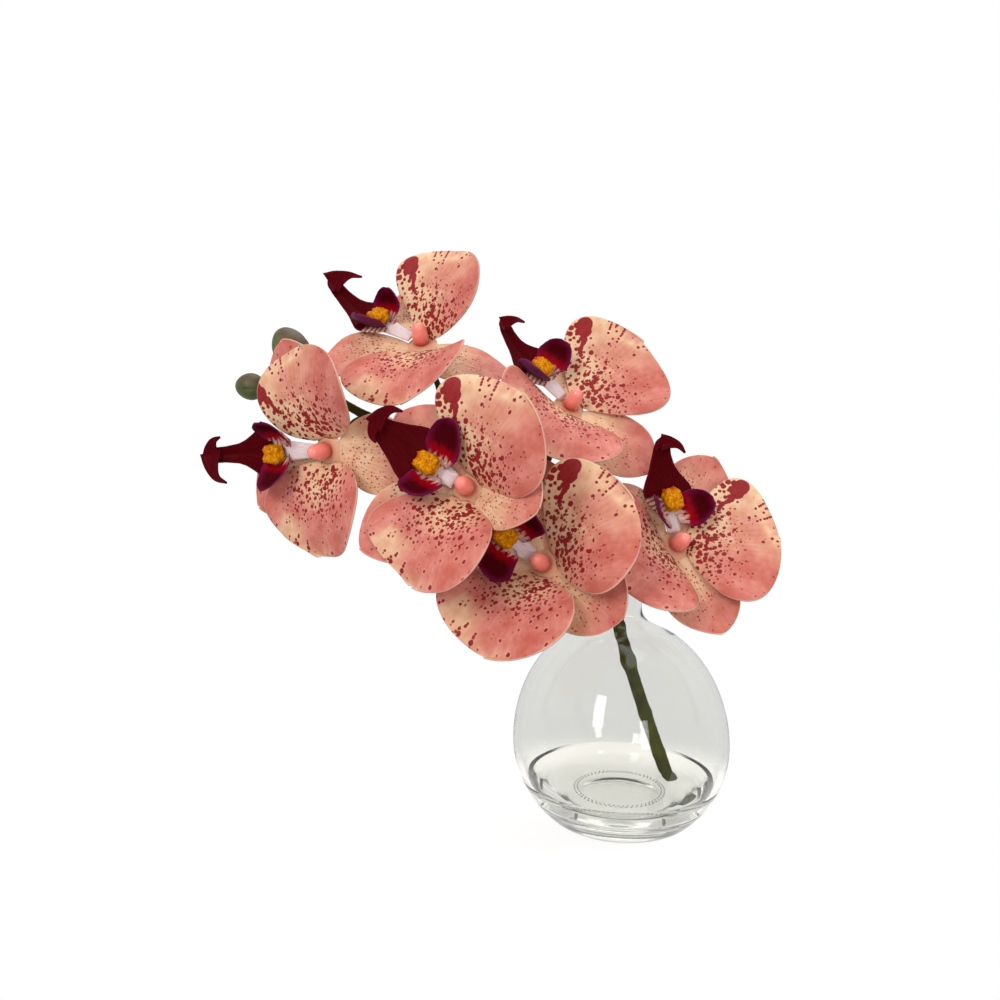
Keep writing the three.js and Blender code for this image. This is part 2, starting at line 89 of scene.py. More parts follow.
# Each bloom has the place, lean, turn and roll of its hub. Its lip has the reach and lift of the
# nose, its swing to one side, how far the two side lobes open and where along the lip they
# stand, the sizes of the two horns, how far the whole lip rises about the claw's root, how much
# shorter the claw is, how full the middle lobe is and how far its crest stands off the middle.
BLOOMS = [
    {
        "hub": (-86.3, 40, 206), "lean": -43, "turn": -8, "roll": -116,
        "lip": {"reach": 0.85, "lift": 12, "swing": 0, "open": (0, 1.4), "lobes": -20,
                "horns": (1.15, 0.35), "rise": -6, "near": -1.5, "full": 0.45, "crest": 0.2},
        "petals": [blade(170, 66, 18, -10, 0.16, 0.98, 0.74, 1), blade(25, 35, -20, 24, 0.22, 1)],
        "sepals": [blade(90, -8, 0, -16, 0.03, 1, 1, 0.7), blade(211, 12, 6, 0, 0.06, 0.92),
                   blade(322, 8, 6, -6, 0.06, 1)],
    },
    {
        "hub": (-18.9, 28, 175.5), "lean": -34.5, "turn": 21, "roll": -141,
        "lip": {"reach": 0.92, "lift": 5, "swing": 0, "open": (1, 1.4), "lobes": -20,
                "horns": (0.75, 0.35), "rise": -5, "near": 1.5, "full": 0.3, "crest": 0.8},
        "petals": [blade(174, 35, 16, 2, 0.12, 0.98), blade(10, 57, -21, -5, 0.24, 1)],
        "sepals": [blade(90, 6, 0, 11, 0.05, 1.02), blade(203, 10, 4, 0, 0.06, 0.88),
                   blade(340, 12, 6, 0, 0.06, 1)],
    },
    {
        "hub": (-124, 13, 156), "lean": 7, "turn": -31, "roll": -92.5,
        "lip": {"reach": 1.12, "lift": 5, "swing": -2, "open": (1.4, 3), "lobes": -19,
                "horns": (0.85, 1.3), "rise": 0, "near": -0.8, "full": 0.25, "crest": 1.4},
        "petals": [blade(187, 48, -22, -8, 0.16, 0.95, 1, 0.84) | BROAD_BASE,
                   blade(0, 42, -19, 12, 0.16, 0.95) | BROAD_BASE],
        "sepals": [blade(87, 0, -14, -2, 0.06, 1), blade(199, 12, 7, 6, 0.06, 1.1),
                   blade(305, 10, 12, 0, 0.06, 0.98)],
    },
    {
        "hub": (-62.8, -13, 139.4), "lean": -15, "turn": -14, "roll": -118,
        "lip": {"reach": 0.9, "lift": 5, "swing": 3, "open": (4.4, 2.2), "lobes": -17.4,
                "horns": (1.1, 0.6), "rise": 0, "near": 4, "full": 1, "crest": 0},
        "petals": [blade(167, 66, 8, -8, 0.12, 1), blade(7, 55, -22, 26, 0.16, 0.97, 1, 0.93)],
        "sepals": [blade(97, 36, 32, -3, 0.07, 0.92, 0.74, 1), blade(252, 14, 9, 0, 0.06, 0.92),
                   blade(331, 11, 9, 1, 0.06, 1.06)],
    },
    {
        "hub": (-31.4, -2.8, 107.8), "lean": -19, "turn": -25, "roll": -122,
        "lip": {"reach": 0.66, "lift": -6, "swing": -8, "open": (2, 3.4), "lobes": -17.4,
                "horns": (0.3, 0.3), "rise": 36, "near": 0, "full": 0.2, "crest": 0},
        "petals": [blade(152, 50, -11, -4, 0.22, 1), blade(18, 61, 2, 4, 0.22, 1.04)],
        "sepals": [blade(93, 15, 19, 1, 0.06, 1), blade(222, 12, 7, 0, 0.06, 1),
                   blade(322, 12, 6, 0, 0.06, 1)],
    },
    {
        "hub": (26.1, 14, 114.4), "lean": -23.5, "turn": 14.5, "roll": -172,
        "lip": {"reach": 0.87, "lift": 6, "swing": -1, "open": (2, 1), "lobes": -15,
                "horns": (0.85, 0.4), "rise": 0, "near": 3, "full": 0.6, "crest": 0},
        "petals": [blade(165, 48, 10, -10, 0.1, 0.88), blade(13, 58, -20, 10, 0.24, 0.9)],
        "sepals": [blade(92, 12, 22, 4, 0.03, 0.95), blade(232, 11, 10, 4, 0.05, 1),
                   blade(326, 12, 4, 0, 0.06, 0.95)],
    },
]

# The stem, its knots and its stalks, in millimetres

STEM_LINE = [
    (22.6, 2, 13), (19, 3, 23), (7.8, 1.5, 55), (-0.8, 0, 84), (-2.2, 0, 97), (-8.5, 3.2, 114),
    (-34, 14, 128), (-62, 20, 143), (-90, 24, 160), (-114, 26, 174), (-134, 31, 184),
    (-158.2, 34.6, 185.9),
]
STEM_POINTS = 150
STEM_ROOT_RADIUS = 2.8
STEM_TIP_RADIUS = 1.9
STALK_POINTS = 50
STALK_RADIUS = 1.4
BARK_DEPTH = 0.5

# Knots by their place along the stem's points and how far they stand out, and the small ones
# between them
KNOTS = ((2.4, 1), (5, 1.1), (6, 0.8), (7, 0.7), (8, 0.6), (8.8, 0.4), (10, 0.2))
KNOT_LENGTH = 2.6
SMALL_KNOTS = (0.3, 1.2, 1.7, 2.9, 3.3)
SMALL_KNOT_SIZE = 0.35
SMALL_KNOT_LENGTH = 1.1

# Where each stalk leaves the stem, and the point that it bends past on its way to the bloom
STALKS = (
    (7.4, (-76, 42, 180)), (6, (-30, 34, 146)), (8.8, (-115, 20, 168)),
    (7.6, (-70, 8, 153)), (6, (-31, 12, 119)), (5, (5, 24, 112)),
)

# Buds by base, tip and radius, and their outline in shares of radius and length
BUDS = (
    ("bud_1", (-141, 34, 195), (-152, 38, 213), 8.4),
    ("bud_2", (-158.6, 34.7, 186), (-172.2, 37.4, 186.6), 6.2),
)
BUD_PROFILE = ((0.34, 0), (0.78, 0.14), (1, 0.42), (0.86, 0.7), (0.45, 0.92), (0, 1))
BUD_STALK_LEAVES = 10

# Printed spots by radius, placed across and along the petal in millimetres

FIRST_PETAL_SPOTS = {
    3.5: [(24.5, 30.5)],
    2.8: [(22, 28.5)],
    1.45: [(26.5, 27.5), (20.6, 27.8), (24, 26), (19.2, 25.2)],
    1.2: [(27.3, 24.5), (25.5, 22), (18.4, 23.8), (20.4, 24.6), (22.5, 26.2), (17.2, 20.6),
          (1.8, 15.8), (1.8, 12.4)],
    1.05: [(25.2, 33.2), (26.8, 21), (16, 19.6), (12.2, 13.1), (-2.6, 11.3), (-7, 10.3), (-4, 7.8),
           (3.6, 8.1), (1.4, 5.4), (0.7, 4), (-0.9, 8.2), (1.6, 14), (9.5, 2.6)],
    0.88: [(23.5, 24.6), (20.3, 22.4), (17.8, 22.3), (18.3, 19.2), (6.7, 13.3), (2.6, 19.7),
           (-2, 17.8), (3.2, 15.9), (2.9, 10.8), (-2.6, 15.3), (-1.1, 11), (-5.3, 10.9),
           (-7.9, 6.8), (-5.6, 6.6), (14.8, 18.8), (10.6, 3.8)],
    0.7: [(22.9, 22.1), (23.3, 20.1), (21.9, 18), (25.5, 18.3), (20.6, 13.8), (12.8, 16.3),
          (14, 16.4), (10.3, 16.7), (11.3, 20), (6.1, 20.5), (3.4, 18.6), (4.1, 12), (4.2, 10.2),
          (5.3, 10.4), (-2.9, 13.2), (-8.6, 8.3), (-2, 7), (3, 7.1), (-0.9, 4.2), (10.3, 32.8),
          (-1.3, 37.8), (14.6, 42.5), (-14.4, 16.8), (-15.9, 23), (0.3, 42.3)],
    0.56: [(14.9, 20.9), (19.9, 16.3), (13, 13.7), (8.7, 17.3), (15.3, 12.4), (15.6, 10.5),
           (14.3, 8.7), (11, 8.5), (11, 6.5), (6.3, 16), (7.4, 14), (5.8, 14.6), (3.4, 13),
           (-4.5, 17.8), (-0.2, 22.8), (0.8, 11.3), (-3, 10), (-8.2, 9.8), (-0.1, 9.2),
           (-1.2, 6.4), (0.9, 7.3), (-0.3, 1.9), (-1.9, 1.9), (-4, 3.2), (-10, 14.9), (-8.8, 14),
           (-7.1, 14), (-11.3, 26.7), (-8, 21.5), (-15.1, 12.7), (-18.9, 13.6), (-17.1, 11.5),
           (-13.3, 9), (-11.2, 10.8), (-11, 12.6), (-12, 5.6), (-1, 44.6), (14.4, 41.4),
           (10.8, 43.8), (10.4, 42.7), (10, 41.4), (9.7, 40.2), (17.2, 41.7), (16.6, 40.4),
           (16, 39.3), (15.5, 38.4), (18.4, 40.9), (12.6, 40.2), (9.3, 38.2), (8.7, 36.5),
           (11.1, 36), (14.5, 36.5), (17.8, 28)],
}

SECOND_PETAL_SPOTS = {
    1.2: [(6.7, 11.3), (4.8, 5.2)],
    1.05: [(3.8, 12.1), (-7.3, 43)],
    0.98: [(7.3, 10.6), (8, 8.7), (6.2, 6), (3.5, 14.2), (-0.1, 11.2), (-8, 7.9), (-4, 6.3),
           (0.2, 8.4), (-13.6, 41.6), (4.8, 18.2)],
    0.8: [(5.2, 12.7), (4.1, 3.8), (7.4, 7.5), (9, 15.6), (3, 18.4), (-1.2, 19), (-8.5, 13),
          (-6.7, 12), (-5, 8.6), (2.7, 7.4), (-27.7, 33.3), (10, 42.3), (-2.5, 22.9)],
    0.66: [(6.7, 15.5), (2.4, 16.2), (6, 19.2), (-0.2, 17.2), (-4, 19.5), (-10.5, 18.7),
           (-9, 17.3), (5.3, 10.3), (11.4, 8.4), (-7.5, 45.3), (-7.2, 40.8), (4.7, 27),
           (14, 25.6), (20.4, 30.2), (24, 35.3), (-14.1, 39.6), (-12.2, 38), (4.4, 14.8),
           (2.4, 10.2)],
    0.54: [(7.7, 19.2), (1.8, 19.3), (5.2, 17.3), (-0.5, 23.1), (3, 23.8), (6, 22), (-7.5, 21.4),
           (-9.7, 16.3), (-12.3, 16.3), (-7.3, 14.6), (-7.8, 13.8), (-10.6, 13.5), (-1.5, 12.4),
           (0, 12.9), (9, 13.3), (1.3, 5), (9.3, 8.6), (12.7, 18.8), (13.8, 14.3), (-15.7, 12.8),
           (-17.2, 17.8), (-10.5, 23.4), (-12.3, 22.9), (-12.5, 24.4), (-16.7, 23.1),
           (-7.7, 24.8), (-6.9, 26.9), (-13.6, 27.4), (-8.5, 28.8), (-6.5, 30), (-18, 31.4),
           (17.9, 25.6), (21.5, 23.9), (20.5, 20), (12.2, 28.4), (12.1, 25.9), (16.1, 30.2),
           (4, 38.5), (-15, 41.1), (-17.5, 38.2), (-21.3, 39), (-26.5, 35.3), (-25.5, 34.2),
           (-24.5, 33), (-7, 39.4), (-11.8, 36.9)],
}

# Colours of 0 to 255, as they look in plain light

STUDIO_GAIN = 0.8              # how far finishes are held back for the studio's bright light
SPOT_CRIMSONS = ((126, 8, 14), (172, 38, 42))
PETAL_PINKS = ((227, 143, 128), (201, 99, 84))
PETAL_CREAMS = ((248, 212, 172), (236, 184, 142))
# The throat's tones, from the column's foot outwards: the darker one is partly the throat's own
# tone and partly painted shade from the column
THROAT_SHADE_AND_CREAM = ((202, 118, 94), (228, 168, 132))
SPOT_HALO = (240, 206, 184)
CUT_EDGE = (240, 200, 180)
CLOTH_BACK = (222, 172, 146)
LIP_BACK = (112, 26, 52)
CALLUS_GOLDS = ((180, 96, 0), (234, 160, 0))
# The column's pinks, from foot to tip: the darker foot is partly its own coral and partly painted
# shade where it stands deep in the throat
COLUMN_PINKS_AND_FOOT_SHADE = ((204, 72, 56), (252, 142, 128))
STEM_OLIVES = ((42, 46, 0), (72, 74, 4))
BUD_GREENS = ((64, 72, 26), (96, 102, 42))
GLASS_TINTS = ((253, 253, 250), (254, 254, 251))
GLASS_FOOT = (222, 223, 219)
PIP_TINTS = ((128, 130, 127), (150, 152, 149))
PIP_FOOT = (138, 140, 137)
WATER_TINTS = ((246, 247, 244), (248, 248, 246))
WATER_FOOT = (244, 245, 242)
GLASS_IOR = 1.28
WATER_IOR = 1.2

# Camera, floor and light, in metres, degrees and watts

CAMERA_PLACE = (-0.050, -0.325, 0.1415)
CAMERA_PITCH = 88.8
SENSOR_WIDTH = 36
LENS = 28.08
FLOOR_RADIUS = 2.4
FLOOR_SIDES = 96
FLOOR_FADE = (0.05, 0.12)      # from where to where the floor thins out to nothing
SKY_STRENGTH = 0.86
ROOM_SHADE = 0.28              # how much darker the room behind the camera is to glossy rays
LAMP_TARGET = (-0.05, 0.0, 0.13)
LAMPS = (
    ("key_softbox", (-0.6, -0.95, 0.66), 0.25, 0.6, 6.6),
    ("fill_softbox", (0.38, -1.2, 0.3), 0.18, 0.5, 3.4),
    ("top_softbox", (0.1, 0.2, 1.1), 0.9, 0.9, 5.0),
)


# Node trees

def linear(colour, held_back):
    """A colour of 0 to 255, as it looks in plain light, as the renderer's own values."""
    def channel(value):
        share = value / 255
        return share / 12.92 if share <= 0.04045 else ((share + 0.055) / 1.055) ** 2.4
    return tuple(channel(value) * held_back for value in colour) + (1.0,)


def node_sum(operation, swapped=False):
    """What one of Python's own signs does when it stands beside a Number."""
    def work_out(self, other):
        values = (other, self) if swapped else (self, other)
        return self.bench.sum(operation, *values)
    return work_out


class Number:
    """A number somewhere in a node tree, and the sums that can be done on it."""

    __add__ = node_sum("ADD")
    __radd__ = node_sum("ADD", swapped=True)
    __sub__ = node_sum("SUBTRACT")
    __rsub__ = node_sum("SUBTRACT", swapped=True)
    __mul__ = node_sum("MULTIPLY")
    __truediv__ = node_sum("DIVIDE")
    __pow__ = node_sum("POWER")
    __gt__ = node_sum("GREATER_THAN")
    __lt__ = node_sum("LESS_THAN")

    def __init__(self, bench, socket):
        self.bench = bench
        self.socket = socket

    def smooth(self, low, high):
        """0 at low, 1 at high, and eased in between; low may be the larger."""
        return self.bench.number("ShaderNodeMapRange", {0: self, 1: low, 2: high},
                                 interpolation_type="SMOOTHSTEP")

    def mix(self, first, second):
        """The first colour where this is 0 and the second where it is 1."""
        bench = self.bench
        made = bench.node("ShaderNodeMix", {0: self}, data_type="RGBA")
        for place, colour in ((6, first), (7, second)):
            plain = isinstance(colour, tuple)
            bench.put(made.inputs[place], linear(colour, bench.held_back) if plain else colour)
        return made.outputs[2]


def largest(first, *others):
    for other in others:
        first = first.bench.sum("MAXIMUM", first, other)
    return first


def smallest(first, *others):
    """The smallest of several numbers, rounded off where two of them are nearly equal."""
    for other in others:
        first = first.bench.sum("SMOOTH_MIN", first, other, 0.12)
    return first


class Bench:
    """A node tree and the few steps that it is built with."""

    def __init__(self, tree, held_back=1.0):
        self.tree = tree
        self.held_back = held_back

    def put(self, socket, value):
        if isinstance(value, Number):
            self.tree.links.new(value.socket, socket)
        elif isinstance(value, bpy.types.NodeSocket):
            self.tree.links.new(value, socket)
        elif isinstance(value, bpy.types.Node):
            self.tree.links.new(value.outputs[0], socket)
        else:
            socket.default_value = value

    def fill(self, made, inputs):
        for key, value in inputs.items():
            self.put(made.inputs[key], value)

    def node(self, kind, inputs=None, **settings):
        made = self.tree.nodes.new(kind)
        for name, value in settings.items():
            setattr(made, name, value)
        self.fill(made, inputs or {})
        return made

    def number(self, kind, inputs=None, output=0, **settings):
        return Number(self, self.node(kind, inputs, **settings).outputs[output])

    def sum(self, operation, *values):
        return self.number("ShaderNodeMath", dict(enumerate(values)), operation=operation)

    def sine_and_cosine(self, angle):
        return self.sum("SINE", angle), self.sum("COSINE", angle)

    def vector(self, x, y, z=0.0):
        return self.node("ShaderNodeCombineXYZ", {0: x, 1: y, 2: z}).outputs[0]

    def parts(self, socket):
        made = self.node("ShaderNodeSeparateXYZ", {0: socket})
        return [Number(self, out) for out in made.outputs]

    def speckle(self, place, scale, detail=2.0, roughness=0.5):
        return self.number("ShaderNodeTexNoise", {"Vector": place, "Scale": scale,
                                                  "Detail": detail, "Roughness": roughness})

    def bump(self, height, strength, depth):
        return self.node("ShaderNodeBump", {"Strength": strength, "Distance": depth * MM,
                                            "Height": height}).outputs[0]

    def place(self):
        """The place on the piece, in metres."""
        return self.node("ShaderNodeTexCoord").outputs["Object"]

    def mark(self):
        """The place that is stored for the print, as a vector and as its three numbers."""
        mark = self.node("ShaderNodeAttribute", attribute_name="print").outputs["Vector"]
        return (mark, *self.parts(mark))

    def back(self):
        """1 on the back of a sheet and 0 on its front."""
        return self.number("ShaderNodeAttribute", output="Fac", attribute_name="back")

    def blend(self, share, shader, clear):
        """The shader where share is 0 and the clear one where it is 1, as the material."""
        both = self.node("ShaderNodeMixShader", {0: share, 1: shader, 2: clear})
        self.put(self.tree.nodes["Material Output"].inputs["Surface"], both)

    def joined(self, *geometries):
        both = self.node("GeometryNodeJoinGeometry")
        for geometry in geometries:
            self.put(both.inputs[0], geometry)
        return both


def new_finish(name, held_back=STUDIO_GAIN):
    """An empty material, its bench and its shader."""
    material = bpy.data.materials.new(name)
    material.use_nodes = True
    bench = Bench(material.node_tree, held_back)
    shader = material.node_tree.nodes["Principled BSDF"]
    return material, bench, shader


def new_object(name, data):
    made = bpy.data.objects.new(name, data)
    bpy.context.scene.collection.objects.link(made)
    return made


# Camera, floor and light

def place_camera():
    data = bpy.data.cameras.new("camera")
    data.sensor_width = SENSOR_WIDTH
    data.lens = LENS
    camera = new_object("camera", data)
    camera.location = CAMERA_PLACE
    camera.rotation_euler = (math.radians(CAMERA_PITCH), 0, 0)
    bpy.context.scene.camera = camera


def lay_floor():
    mesh = bpy.data.meshes.new("floor")
    angles = [k * math.tau / FLOOR_SIDES for k in range(FLOOR_SIDES)]
    around = [(FLOOR_RADIUS * math.cos(a), FLOOR_RADIUS * math.sin(a), 0) for a in angles]
    mesh.from_pydata(around, [], [list(range(FLOOR_SIDES))])
    floor = new_object("floor", mesh)
    material, bench, shader = new_finish("pale_floor", 1.0)
    place = bench.place()
    far = bench.number("ShaderNodeVectorMath", {0: place}, output="Value", operation="LENGTH")
    tone = bench.speckle(place, 60.0).mix((250, 250, 250), (253, 253, 252))
    bench.fill(shader, {"Base Color": tone, "Roughness": 0.9})
    bench.blend(far.smooth(*FLOOR_FADE), shader, bench.node("ShaderNodeBsdfTransparent"))
    mesh.materials.append(material)


def set_sky():
    """White to the camera, and a soft grey room for all other rays."""
    world = bpy.data.worlds.new("studio")
    bpy.context.scene.world = world
    world.use_nodes = True
    world.node_tree.nodes.clear()
    bench = Bench(world.node_tree)
    seen = bench.node("ShaderNodeBackground", {"Color": (1, 1, 1, 1), "Strength": 1.0})
    _, depth, height = bench.parts(bench.node("ShaderNodeTexCoord").outputs["Generated"])
    glow = height.smooth(-0.25, 0.7).mix((234, 234, 235), (246, 246, 246))
    rays = bench.node("ShaderNodeLightPath")
    room = depth.smooth(0.3, -0.3) * rays.outputs["Is Glossy Ray"]
    lit = bench.node("ShaderNodeBackground", {"Color": glow,
                                              "Strength": SKY_STRENGTH - room * ROOM_SHADE})
    both = bench.node("ShaderNodeMixShader", {0: rays.outputs["Is Camera Ray"], 1: lit, 2: seen})
    bench.node("ShaderNodeOutputWorld", {"Surface": both})


def hang_lamp(name, place, width, height, power):
    data = bpy.data.lights.new(name, "AREA")
    data.shape = "RECTANGLE"
    data.size = width
    data.size_y = height
    data.energy = power
    lamp = new_object(name, data)
    lamp.location = place
    aim = Vector(LAMP_TARGET) - Vector(place)
    lamp.rotation_euler = aim.to_track_quat("-Z", "Y").to_euler()


def light_studio():
    bpy.context.scene.view_settings.view_transform = "Standard"
    lay_floor()
    set_sky()
    for lamp in LAMPS:
        hang_lamp(*lamp)


# Lines and surfaces

class Line:
    """A smooth line through points, the same as the part's own lines."""

    def __init__(self, points):
        self.points = [Vector(p) for p in points]

    def at(self, share):
        points = self.points
        count = len(points)
        place = (count - 1) * min(max(share, 0.0), 1.0)
        first = min(int(place), count - 2)
        weight = place - first
        p1, p2 = points[first], points[first + 1]
        p0 = points[first - 1] if first > 0 else p1 * 2 - p2
        p3 = points[first + 2] if first + 2 < count else p2 * 2 - p1
        pairs = ((p0, p1), (p1, p2), (p2, p3))
        d0, d1, d2 = (max((b - a).length, 1e-4) ** 0.5 for a, b in pairs)
        t1 = ((p1 - p0) / d0 - (p2 - p0) / (d0 + d1) + (p2 - p1) / d1) * d1
        t2 = ((p2 - p1) / d1 - (p3 - p1) / (d1 + d2) + (p3 - p2) / d2) * d1
        return (p1 + t1 * weight + (p2 * 3 - p1 * 3 - t1 * 2 - t2) * weight ** 2
                + (p1 * 2 - p2 * 2 + t1 + t2) * weight ** 3)

    def along(self, share):
        low, high = max(share - 1e-3, 0.0), min(share + 1e-3, 1.0)
        return (self.at(high) - self.at(low)).normalized()

    def many(self, count):
        return [self.at(k / (count - 1)) for k in range(count)]


def table_value(table, share):
    """The value of a table of (share, value) rows, on straight lines between them."""
    for (s0, v0), (s1, v1) in zip(table, table[1:]):
        if share <= s1:
            return v0 + (v1 - v0) * (share - s0) / (s1 - s0)
    return table[-1][1]


def cast(name, points, faces, finish, marks=None, backs=None):
    """A new object from points in millimetres. It stores the print's place on each point, and
    whether the point is on the back."""
    mesh = bpy.data.meshes.new(name)
    mesh.from_pydata([tuple(p) for p in points], [], faces)
    place = mesh.attributes.new("print", "FLOAT_VECTOR", "POINT")
    place.data.foreach_set("vector", [c for mark in (marks or points) for c in mark])
    side = mesh.attributes.new("back", "FLOAT", "POINT")
    side.data.foreach_set("value", backs or [0.0] * len(points))
    mesh.materials.append(finish)
    mesh.shade_smooth()
    return new_object(name, mesh)


def lathe(name, profile, sides, finish, swell=None):
    """A turned solid about Z from a profile of (radius, height) that runs from axis to axis."""
    points, rings = [], []
    for radius, height in profile:
        if radius < 1e-6:
            rings.append([len(points)])
            points.append(Vector((0, 0, height)))
            continue
        ring = []
        for k in range(sides):
            angle = math.tau * k / sides
            wide = radius * (swell(angle, height) if swell else 1.0)
            ring.append(len(points))
            points.append(Vector((wide * math.cos(angle), wide * math.sin(angle), height)))
        rings.append(ring)
    faces = []
    for low, high in zip(rings, rings[1:]):
        for k in range(sides):
            after = (k + 1) % sides
            if len(low) == 1:
                faces.append((low[0], high[k], high[after])[::-1])
            elif len(high) == 1:
                faces.append((low[k], low[after], high[0]))
            else:
                faces.append((low[k], low[after], high[after], high[k]))
    return cast(name, points, faces, finish)


def rounded(profile, steps):
    """The same profile with points between its own, on a smooth line."""
    line = Line([(r, z, 0) for r, z in profile])
    count = (len(profile) - 1) * steps + 1
    return [(max(p.x, 0.0), p.y) for p in line.many(count)]


def sheet(name, surface, rows, columns, finish):
    """A closed thin sheet about surface(s, t), with s from 0 to 1 and t from -1 to 1. Its front
    is where s turned towards t points. The print holds the place across and along, and the
    distance from the edge."""
    step = 1e-3
    front, back, marks = [], [], []
    lengths = [0.0]
    for i in range(1, rows):
        gap = surface(i / (rows - 1), 0) - surface((i - 1) / (rows - 1), 0)
        lengths.append(lengths[-1] + gap.length)
    for i in range(rows):
        s = i / (rows - 1)
        half = (surface(s, 1) - surface(s, -1)).length / 2
        for j in range(columns):
            t = 2 * j / (columns - 1) - 1
            along = surface(min(s + step, 1), t) - surface(max(s - step, 0), t)
            across = surface(s, t + step) - surface(s, t - step)
            normal = along.cross(across).normalized() * CLOTH / 2
            middle = surface(s, t)
            front.append(middle + normal)
            back.append(middle - normal)
            edge = min((1 - abs(t)) * half, lengths[-1] - lengths[i])
            marks.append((t * half, lengths[i], edge))
    size = rows * columns
    faces = []
    for i in range(rows - 1):
        for j in range(columns - 1):
            a = i * columns + j
            b, c, d = a + 1, a + columns + 1, a + columns
            faces.append((a, d, c, b))
            faces.append((a + size, b + size, c + size, d + size))
    rim = list(range(columns))
    rim += [i * columns + columns - 1 for i in range(1, rows)]
    rim += [(rows - 1) * columns + j for j in range(columns - 2, -1, -1)]
    rim += [i * columns for i in range(rows - 2, 0, -1)]
    for a, b in zip(rim, rim[1:] + rim[:1]):
        faces.append((a, b, b + size, a + size))
    return cast(name, front + back, faces, finish, marks + marks, [0.0] * size + [1.0] * size)


def strip(line, width, side_at, curl, keel=0.0):
    """A surface along a line: its width and side direction, curled edges and a keel."""
    def surface(s, t):
        share = min(max(s, 0.0), 1.0)
        along = line.along(share)
        side = side_at(share, along)
        up = along.cross(side).normalized()
        x = t * width(share)
        return line.at(share) + side * x + up * (curl * x * x - keel * math.exp(-x * x / 1.4))
    return surface


def joined(name, parts):
    """Several parts as one object."""
    first = parts[0]
    with bpy.context.temp_override(active_object=first, object=first,
                                   selected_objects=parts, selected_editable_objects=parts):
        bpy.ops.object.join()
    first.name = name
    first.data.name = name
    return first


def settle(piece, place=Matrix.Identity(4)):
    """Brings a piece made in millimetres to its place in the part's frame, in metres."""
    piece.data.transform(Matrix.Scale(MM, 4) @ place)
    piece.data.update()


def hand_over(piece, slot, *nodes):
    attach(piece, "root")
    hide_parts(*nodes)


def grown(name, tree, inputs, source=None):
    """The plain mesh object that a Geometry Nodes tree makes with these inputs."""
    if source is None:
        source = new_object(name, bpy.data.meshes.new(name))
    modifier = source.modifiers.new("grow", "NODES")
    modifier.node_group = tree
    for item in tree.interface.items_tree:
        if item.item_type == "SOCKET" and item.in_out == "INPUT" and item.name in inputs:
            modifier[item.identifier] = inputs[item.name]
    bpy.context.view_layer.update()
    depsgraph = bpy.context.evaluated_depsgraph_get()
    mesh = bpy.data.meshes.new_from_object(source.evaluated_get(depsgraph),
                                           preserve_all_data_layers=True, depsgraph=depsgraph)
    source.modifiers.clear()
    bpy.data.objects.remove(source)
    return new_object(name, mesh)


def new_tree(name, sizes):
    """An empty Geometry Nodes tree with named inputs, its bench and its inputs as numbers."""
    tree = bpy.data.node_groups.new(name, "GeometryNodeTree")
    sockets = [("Geometry", "INPUT", "Geometry")]
    sockets += [(size, "INPUT", "Float") for size in sizes]
    sockets += [("Finish", "INPUT", "Material"), ("Geometry", "OUTPUT", "Geometry")]
    for label, side, kind in sockets:
        tree.interface.new_socket(name=label, in_out=side, socket_type=f"NodeSocket{kind}")
    bench = Bench(tree)
    given = bench.node("NodeGroupInput")
    numbers = {size: Number(bench, given.outputs[size]) for size in sizes}
    return tree, bench, given, numbers


def end_tree(bench, given, geometry):
    """The last nodes of a tree, which make its geometry real, smooth and painted."""
    real = bench.node("GeometryNodeRealizeInstances", {0: geometry})
    smooth = bench.node("GeometryNodeSetShadeSmooth", {"Geometry": real})
    painted = bench.node("GeometryNodeSetMaterial", {"Geometry": smooth,
                                                     "Material": given.outputs["Finish"]})
    bench.node("NodeGroupOutput", {0: painted})


# Petals and sepals

BLADE_ANGLES = ("direction", "base", "tip", "twist")
BLADE_SIZES = ("length", "half_width", "rise", "fullness", "size", "start", "cup", "low", "high",
               "ruffle", "crease", "thickness", "print_side", "seed") + BLADE_ANGLES


